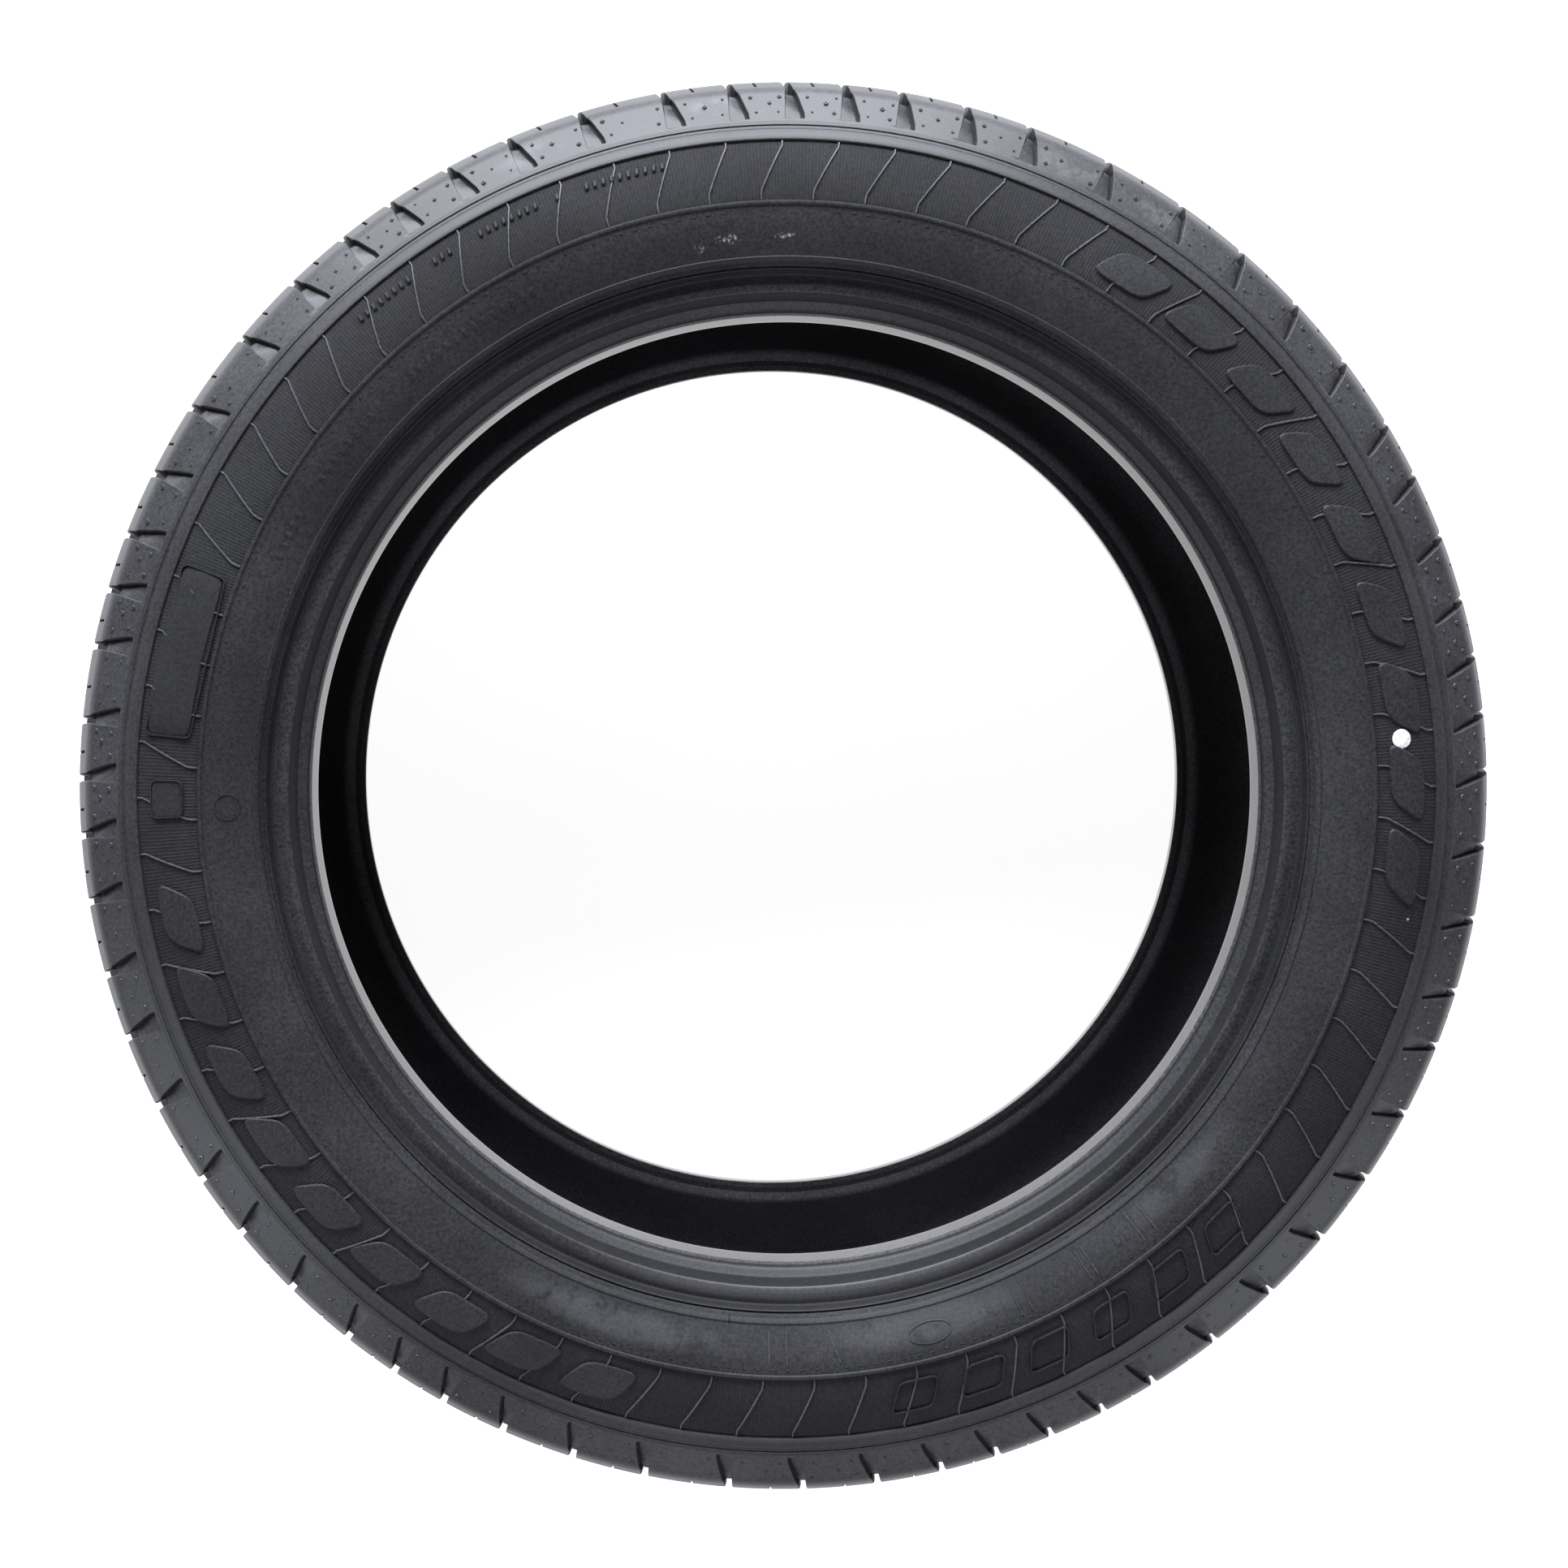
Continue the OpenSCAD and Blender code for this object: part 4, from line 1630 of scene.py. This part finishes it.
@dataclass(frozen=True)
class Rubber:
    """One finish of the moulded rubber.

    Attributes:
        name: the material's name.
        grey: its base tone.
        rough: its roughness.
        cloud: how far soft clouds of dust change its tone.
        mottle: how far its fine mottling does.
        grain: height of its grain.
        specks: the grey of the fine specks of release agent on it.
        gloss: strength of its reflections, where 0.5 is plain rubber.
        sheen: strength of its smooth film.
        patches: the dust, scuffs and painted light on it.
        fine, clouds, grains: how many features of its mottling, dust and grain fit in a metre.
        tint: its green and blue as shares of its red.
    """

    name: str
    grey: float
    rough: float
    cloud: float = 0.18
    mottle: float = 0.5
    grain: float = 0.03 * MM
    specks: float = 0.0
    gloss: float = 0.3
    sheen: float = 0.0
    patches: tuple[Patch, ...] = ()
    fine: float = 640.0
    clouds: float = 13.0
    grains: float = 1100.0
    tint: tuple[float, float] = (0.99, 1.07)

    def material(self) -> bpy.types.Material:
        """Builds the material.

        Returns:
            The material, with its nodes.
        """
        wiring = Wiring(self.name)
        fine = wiring.noise(self.fine, 8.0, 0.8)
        tone = wiring.maths(
            "MULTIPLY",
            wiring.ramp(wiring.noise(self.clouds, 6.0, 0.6), 0.3, 0.7, self.grey * (1 - self.cloud),
                        self.grey * (1 + self.cloud)),
            wiring.ramp(fine, 0.3, 0.7, 1 - self.mottle, 1 + self.mottle))
        if self.specks:
            speck = wiring.ramp(wiring.noise(620.0, 2.0), 0.63, 0.7, 0.0, self.specks)
            tone = wiring.maths("ADD", tone, speck)
        if self.patches:
            axes = wiring.node("ShaderNodeSeparateXYZ", {0: wiring.place()}).outputs
            angle = wiring.maths("ARCTAN2", axes[0], axes[1])
            radius = wiring.maths("SQRT", wiring.maths(
                "ADD", wiring.maths("MULTIPLY", axes[0], axes[0]),
                wiring.maths("MULTIPLY", axes[1], axes[1])))
            for patch in self.patches:
                tone = wiring.maths("ADD", tone, patch.wire(wiring, angle, radius))
        colour = wiring.node("ShaderNodeCombineColor", {
            0: tone, 1: wiring.maths("MULTIPLY", tone, self.tint[0]),
            2: wiring.maths("MULTIPLY", tone, self.tint[1])}).outputs[0]
        bump = wiring.node("ShaderNodeBump", {
            "Strength": 1.0, "Distance": self.grain, "Height": wiring.noise(self.grains)})
        wiring.dress({"Base Color": colour, "Normal": bump.outputs[0],
                      "Roughness": wiring.ramp(fine, 0.3, 0.7, self.rough - 0.05, self.rough + 0.05),
                      "Specular IOR Level": self.gloss, "Coat Weight": self.sheen,
                      "Coat Roughness": 0.22})
        return wiring.material


@dataclass(frozen=True)
class Palette:
    """Every finish of the tyre, with the painted shade of the slots, the hollows and the vent studs and the
    painted light on the cushion and the lower sidewall.
    """

    tread: bpy.types.Material
    shoulder: bpy.types.Material
    ridge: bpy.types.Material
    band: bpy.types.Material
    rib: bpy.types.Material
    side: bpy.types.Material
    cushion: bpy.types.Material
    hollow: bpy.types.Material
    slot: bpy.types.Material
    toe: bpy.types.Material
    liner: bpy.types.Material
    paint: bpy.types.Material
    stud: bpy.types.Material
    pit: bpy.types.Material

    @classmethod
    def mixed(cls) -> Palette:
        """Builds them all.

        Returns:
            The finishes of the tyre.
        """
        smears = (Patch(24, 327 * MM, 26 * MM, 7 * MM, 0.03, 120, 0.6),
                  Patch(33, 328 * MM, 20 * MM, 6 * MM, 0.03, 120, 0.6),
                  Patch(354, 329 * MM, 18 * MM, 6 * MM, 0.04, 120, 0.55),
                  Patch(338, 328 * MM, 24 * MM, 6 * MM, 0.03, 120, 0.55),
                  Patch(94.5, 318.6 * MM, 0.9 * MM, 0.9 * MM, 0.6, 5, 1.0))
        # Scuffs, smears and painted light on the lower sidewall: the white marks at the top are partly
        # scuffing and partly painted highlights of raised lettering.
        side_scuffs_and_light = (Patch(353.8, 262.7 * MM, 8 * MM, 3 * MM, 0.4, 620, 0.42),
                  Patch(359.7, 263 * MM, 7.5 * MM, 2 * MM, 0.3, 620, 0.4),
                  Patch(350.8, 260 * MM, 5 * MM, 3 * MM, 0.16, 620, 0.42),
                  Patch(198, 264 * MM, 70 * MM, 10 * MM, 0.03, 60, 0.7),
                  Patch(165, 262 * MM, 60 * MM, 11 * MM, 0.028, 45, 0.7),
                  Patch(135, 262 * MM, 45 * MM, 9 * MM, 0.02, 60, 0.6),
                  # Painted light: the lower sidewall made lighter all round the bottom, where light falls on
                  # it.
                  Patch(162, 262 * MM, 200 * MM, 17 * MM, 0.011, 30, 1.0),
                  Patch(186.3, 253 * MM, 0.8 * MM, 3 * MM, -0.022, 5, 1.0))
        fleck = (Patch(101.6, 301.5 * MM, 0.8 * MM, 0.8 * MM, 0.5, 5, 1.0),)
        # Painted light: a broad lighter patch over the cushion round the bottom of the tyre, where light
        # falls on it.
        cushion_painted_light = (Patch(172, 241 * MM, 170 * MM, 7 * MM, 0.045, 60, 0.95),)
        return cls(
            tread=Rubber("tread_rubber", 0.045, 0.5).material(),
            shoulder=Rubber("shoulder_rubber", 0.042, 0.42, gloss=0.28, patches=smears).material(),
            ridge=Rubber("ridge_rubber", 0.032, 0.42, gloss=0.24).material(),
            band=Rubber("band_rubber", 0.02, 0.85, gloss=0.2, patches=fleck).material(),
            rib=Rubber("rib_rubber", 0.07, 0.45).material(),
            side=Rubber("side_rubber", 0.021, 0.6, cloud=0.25, mottle=0.7, gloss=0.22,
                        patches=side_scuffs_and_light).material(),
            # The cushion carries painted light round the bottom of the tyre.
            cushion=Rubber("cushion_rubber", 0.024, 0.5, mottle=0.8, gloss=0.3,
                           patches=cushion_painted_light).material(),
            # Painted shade: a darker grey for the valley, the hollow in the cushion and the line inside the
            # heel.
            hollow=Rubber("hollow_painted_shade", 0.013, 0.6, gloss=0.2).material(),
            # Painted shade: the darker grey of the faces deep in the slots.
            slot=Rubber("slot_painted_shade", 0.012, 0.7, gloss=0.15).material(),
            toe=Rubber("toe_rubber", 0.043, 0.35, mottle=0.9, grain=0.02 * MM, gloss=0.6,
                       sheen=0.85).material(),
            liner=Rubber("liner_rubber", 0.08, 0.65, grain=0.2 * MM, specks=0.05).material(),
            paint=Rubber("marking_paint", 0.75, 0.5, cloud=0.05).material(),
            stud=Rubber("stud_rubber", 0.07, 0.4, gloss=0.4).material(),
            # Painted shade: the near-black of the pits in the vent studs.
            pit=Rubber("pit_rubber", 0.008, 0.7).material())


@dataclass
class Studio:
    """The floor, the lamps and the camera of the photograph.

    Attributes:
        camera_at, aimed_at: where the camera is, and the point that its axis passes through.
        lens, lens_shift, sensor: its lens in millimetres, its shift and its sensor's width.
        floor_z, floor_size: the floor's height and side.
        floor_grey: how much of the light the floor gives back to the tyre.
        floor_seen: the same as the camera sees it, and the glow that makes it white.
        lamp_colour: the colour of every lamp.
        world_light: strength of the even light from all around.
    """

    camera_at: tuple[float, float, float] = (-0.0484, 0.0435, 1.217)
    aimed_at: tuple[float, float, float] = (-0.0416, 0.0217, 0.0)
    lens_shift: tuple[float, float] = (0.0544, -0.0267)
    lens: float = 53.15
    sensor: float = 36.0
    floor_z: float = -0.1243
    floor_size: float = 8.0
    floor_grey: float = 0.45
    floor_seen: tuple[float, float] = (0.5, 0.93)
    lamp_colour: tuple[float, float, float] = (0.95, 0.98, 1.06)
    world_light: float = 0.15

    def build(self) -> None:
        """Makes the floor, the lamps, the world and the camera."""
        self.floor()
        self.lamp("key", (-0.3, 2.2, 0.95), (2.6, 1.1), 205)
        self.lamp("low_left", (-1.9, -1.3, 1.1), (1.2, 1.0), 18)
        self.lamp("low_right", (1.7, -1.6, 1.1), (1.0, 1.0), 18)
        self.lamp("front", (0.0, -2.0, 1.5), (1.4, 0.9), 20)
        self.world()
        self.camera()

    def world(self) -> None:
        """Makes the world, a soft even light that the camera sees as white."""
        world = bpy.context.scene.world or bpy.data.worlds.new("studio")
        bpy.context.scene.world = world
        world.use_nodes = True
        tree = world.node_tree
        background = tree.nodes["Background"]
        background.inputs["Color"].default_value = (1, 1, 1, 1)
        path = tree.nodes.new("ShaderNodeLightPath")
        strength = tree.nodes.new("ShaderNodeMath")
        strength.operation = "MAXIMUM"
        strength.inputs[1].default_value = self.world_light
        tree.links.new(path.outputs["Is Camera Ray"], strength.inputs[0])
        tree.links.new(strength.outputs[0], background.inputs["Strength"])

    def floor(self) -> None:
        """Makes the floor, which the camera sees as white with the tyre's shadow on it."""
        bpy.ops.mesh.primitive_plane_add(size=self.floor_size, location=(0, 0, self.floor_z))
        floor = bpy.context.object
        floor.name = "floor"
        wiring = Wiring("floor")
        nodes = wiring.material.node_tree.nodes
        nodes.remove(nodes["Principled BSDF"])
        rays = wiring.node("ShaderNodeLightPath", {}).outputs
        seen = wiring.maths("MAXIMUM", rays["Is Camera Ray"], rays["Is Glossy Ray"])
        seen = wiring.maths("MAXIMUM", seen, rays["Is Transmission Ray"])
        pale, glow = self.floor_seen
        matt, paler = (wiring.node("ShaderNodeBsdfDiffuse", {"Color": (grey, grey, grey, 1)})
                       for grey in (self.floor_grey, pale))
        light = wiring.node("ShaderNodeEmission", {"Strength": glow})
        both = wiring.node("ShaderNodeAddShader", {0: paler.outputs[0], 1: light.outputs[0]})
        mix = wiring.node("ShaderNodeMixShader", {0: seen, 1: matt.outputs[0], 2: both.outputs[0]})
        wiring.feed(nodes["Material Output"], {"Surface": mix.outputs[0]})
        floor.data.materials.append(wiring.material)

    def lamp(self, name: str, at: tuple[float, float, float], size: tuple[float, float],
             watts: float) -> None:
        """Hangs one soft lamp that points at the tyre.

        Args:
            name: its name.
            at: where it hangs.
            size: its width and height.
            watts: its power.
        """
        light = bpy.data.lights.new(name, "AREA")
        light.shape = "RECTANGLE"
        light.size, light.size_y = size
        light.energy = watts
        light.color = self.lamp_colour
        lamp = bpy.data.objects.new(name, light)
        lamp.location = at
        lamp.rotation_euler = (-Vector(at)).to_track_quat("-Z", "Y").to_euler()
        bpy.context.scene.collection.objects.link(lamp)

    def camera(self) -> None:
        """Places the camera where the photograph was taken from."""
        data = bpy.data.cameras.new("camera")
        data.lens = self.lens
        data.sensor_width = self.sensor
        camera = bpy.data.objects.new("camera", data)
        data.shift_x, data.shift_y = self.lens_shift
        back = (Vector(self.camera_at) - Vector(self.aimed_at)).normalized()
        right = Vector((0, 1, 0)).cross(back).normalized()
        turn = Matrix((right, back.cross(right), back)).transposed()
        camera.matrix_world = Matrix.Translation(Vector(self.camera_at)) @ turn.to_4x4()
        bpy.context.scene.collection.objects.link(camera)
        bpy.context.scene.camera = camera


def main() -> None:
    """Builds the tyre around its frame and reports each piece."""
    logging.basicConfig(level=logging.INFO, format="%(name)s: %(message)s")
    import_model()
    section, pitch = Section(), Pitch()
    finish = Palette.mixed()
    tread = Tread(section, pitch)
    casing = Casing(section)
    trim = Trim(section, AroundTree(), Relief())
    pieces = []
    for side in Side:
        pieces += [tread.shoulder(side, [finish.tread, finish.shoulder, finish.ridge, finish.slot]),
                   tread.rib(side, [finish.tread]),
                   # The hollow finish is painted shade for the valley, the hollow and the line inside the
                   # heel.
                   casing.sidewall(side, [finish.ridge, finish.band, finish.side, finish.hollow,
                                          finish.cushion, finish.hollow, finish.cushion,
                                          finish.hollow, finish.toe]),
                   trim.serrations(side, finish.band), trim.swept_ribs(side, finish.rib),
                   trim.blocks(side, finish.side), trim.fields(side, finish.band),
                   trim.fine_marks(side, finish.side),
                   trim.fine_lines(side, finish.rib), trim.dashes(side, finish.side),
                   *trim.vent_studs(side, pitch, [finish.stud, finish.pit])]
    pieces += [tread.centre_rib([finish.tread]), casing.liner([finish.liner]),
               trim.paint_dot([finish.paint])]
    for piece in pieces:
        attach(piece, "root")
        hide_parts("tyre")
        triangles = sum(len(face.vertices) - 2 for face in piece.data.polygons)
        LOG.info("%s: %d triangles", piece.name, triangles)
    Studio().build()
    bpy.context.scene.view_settings.view_transform = "Standard"


if __name__ == "__main__":
    main()
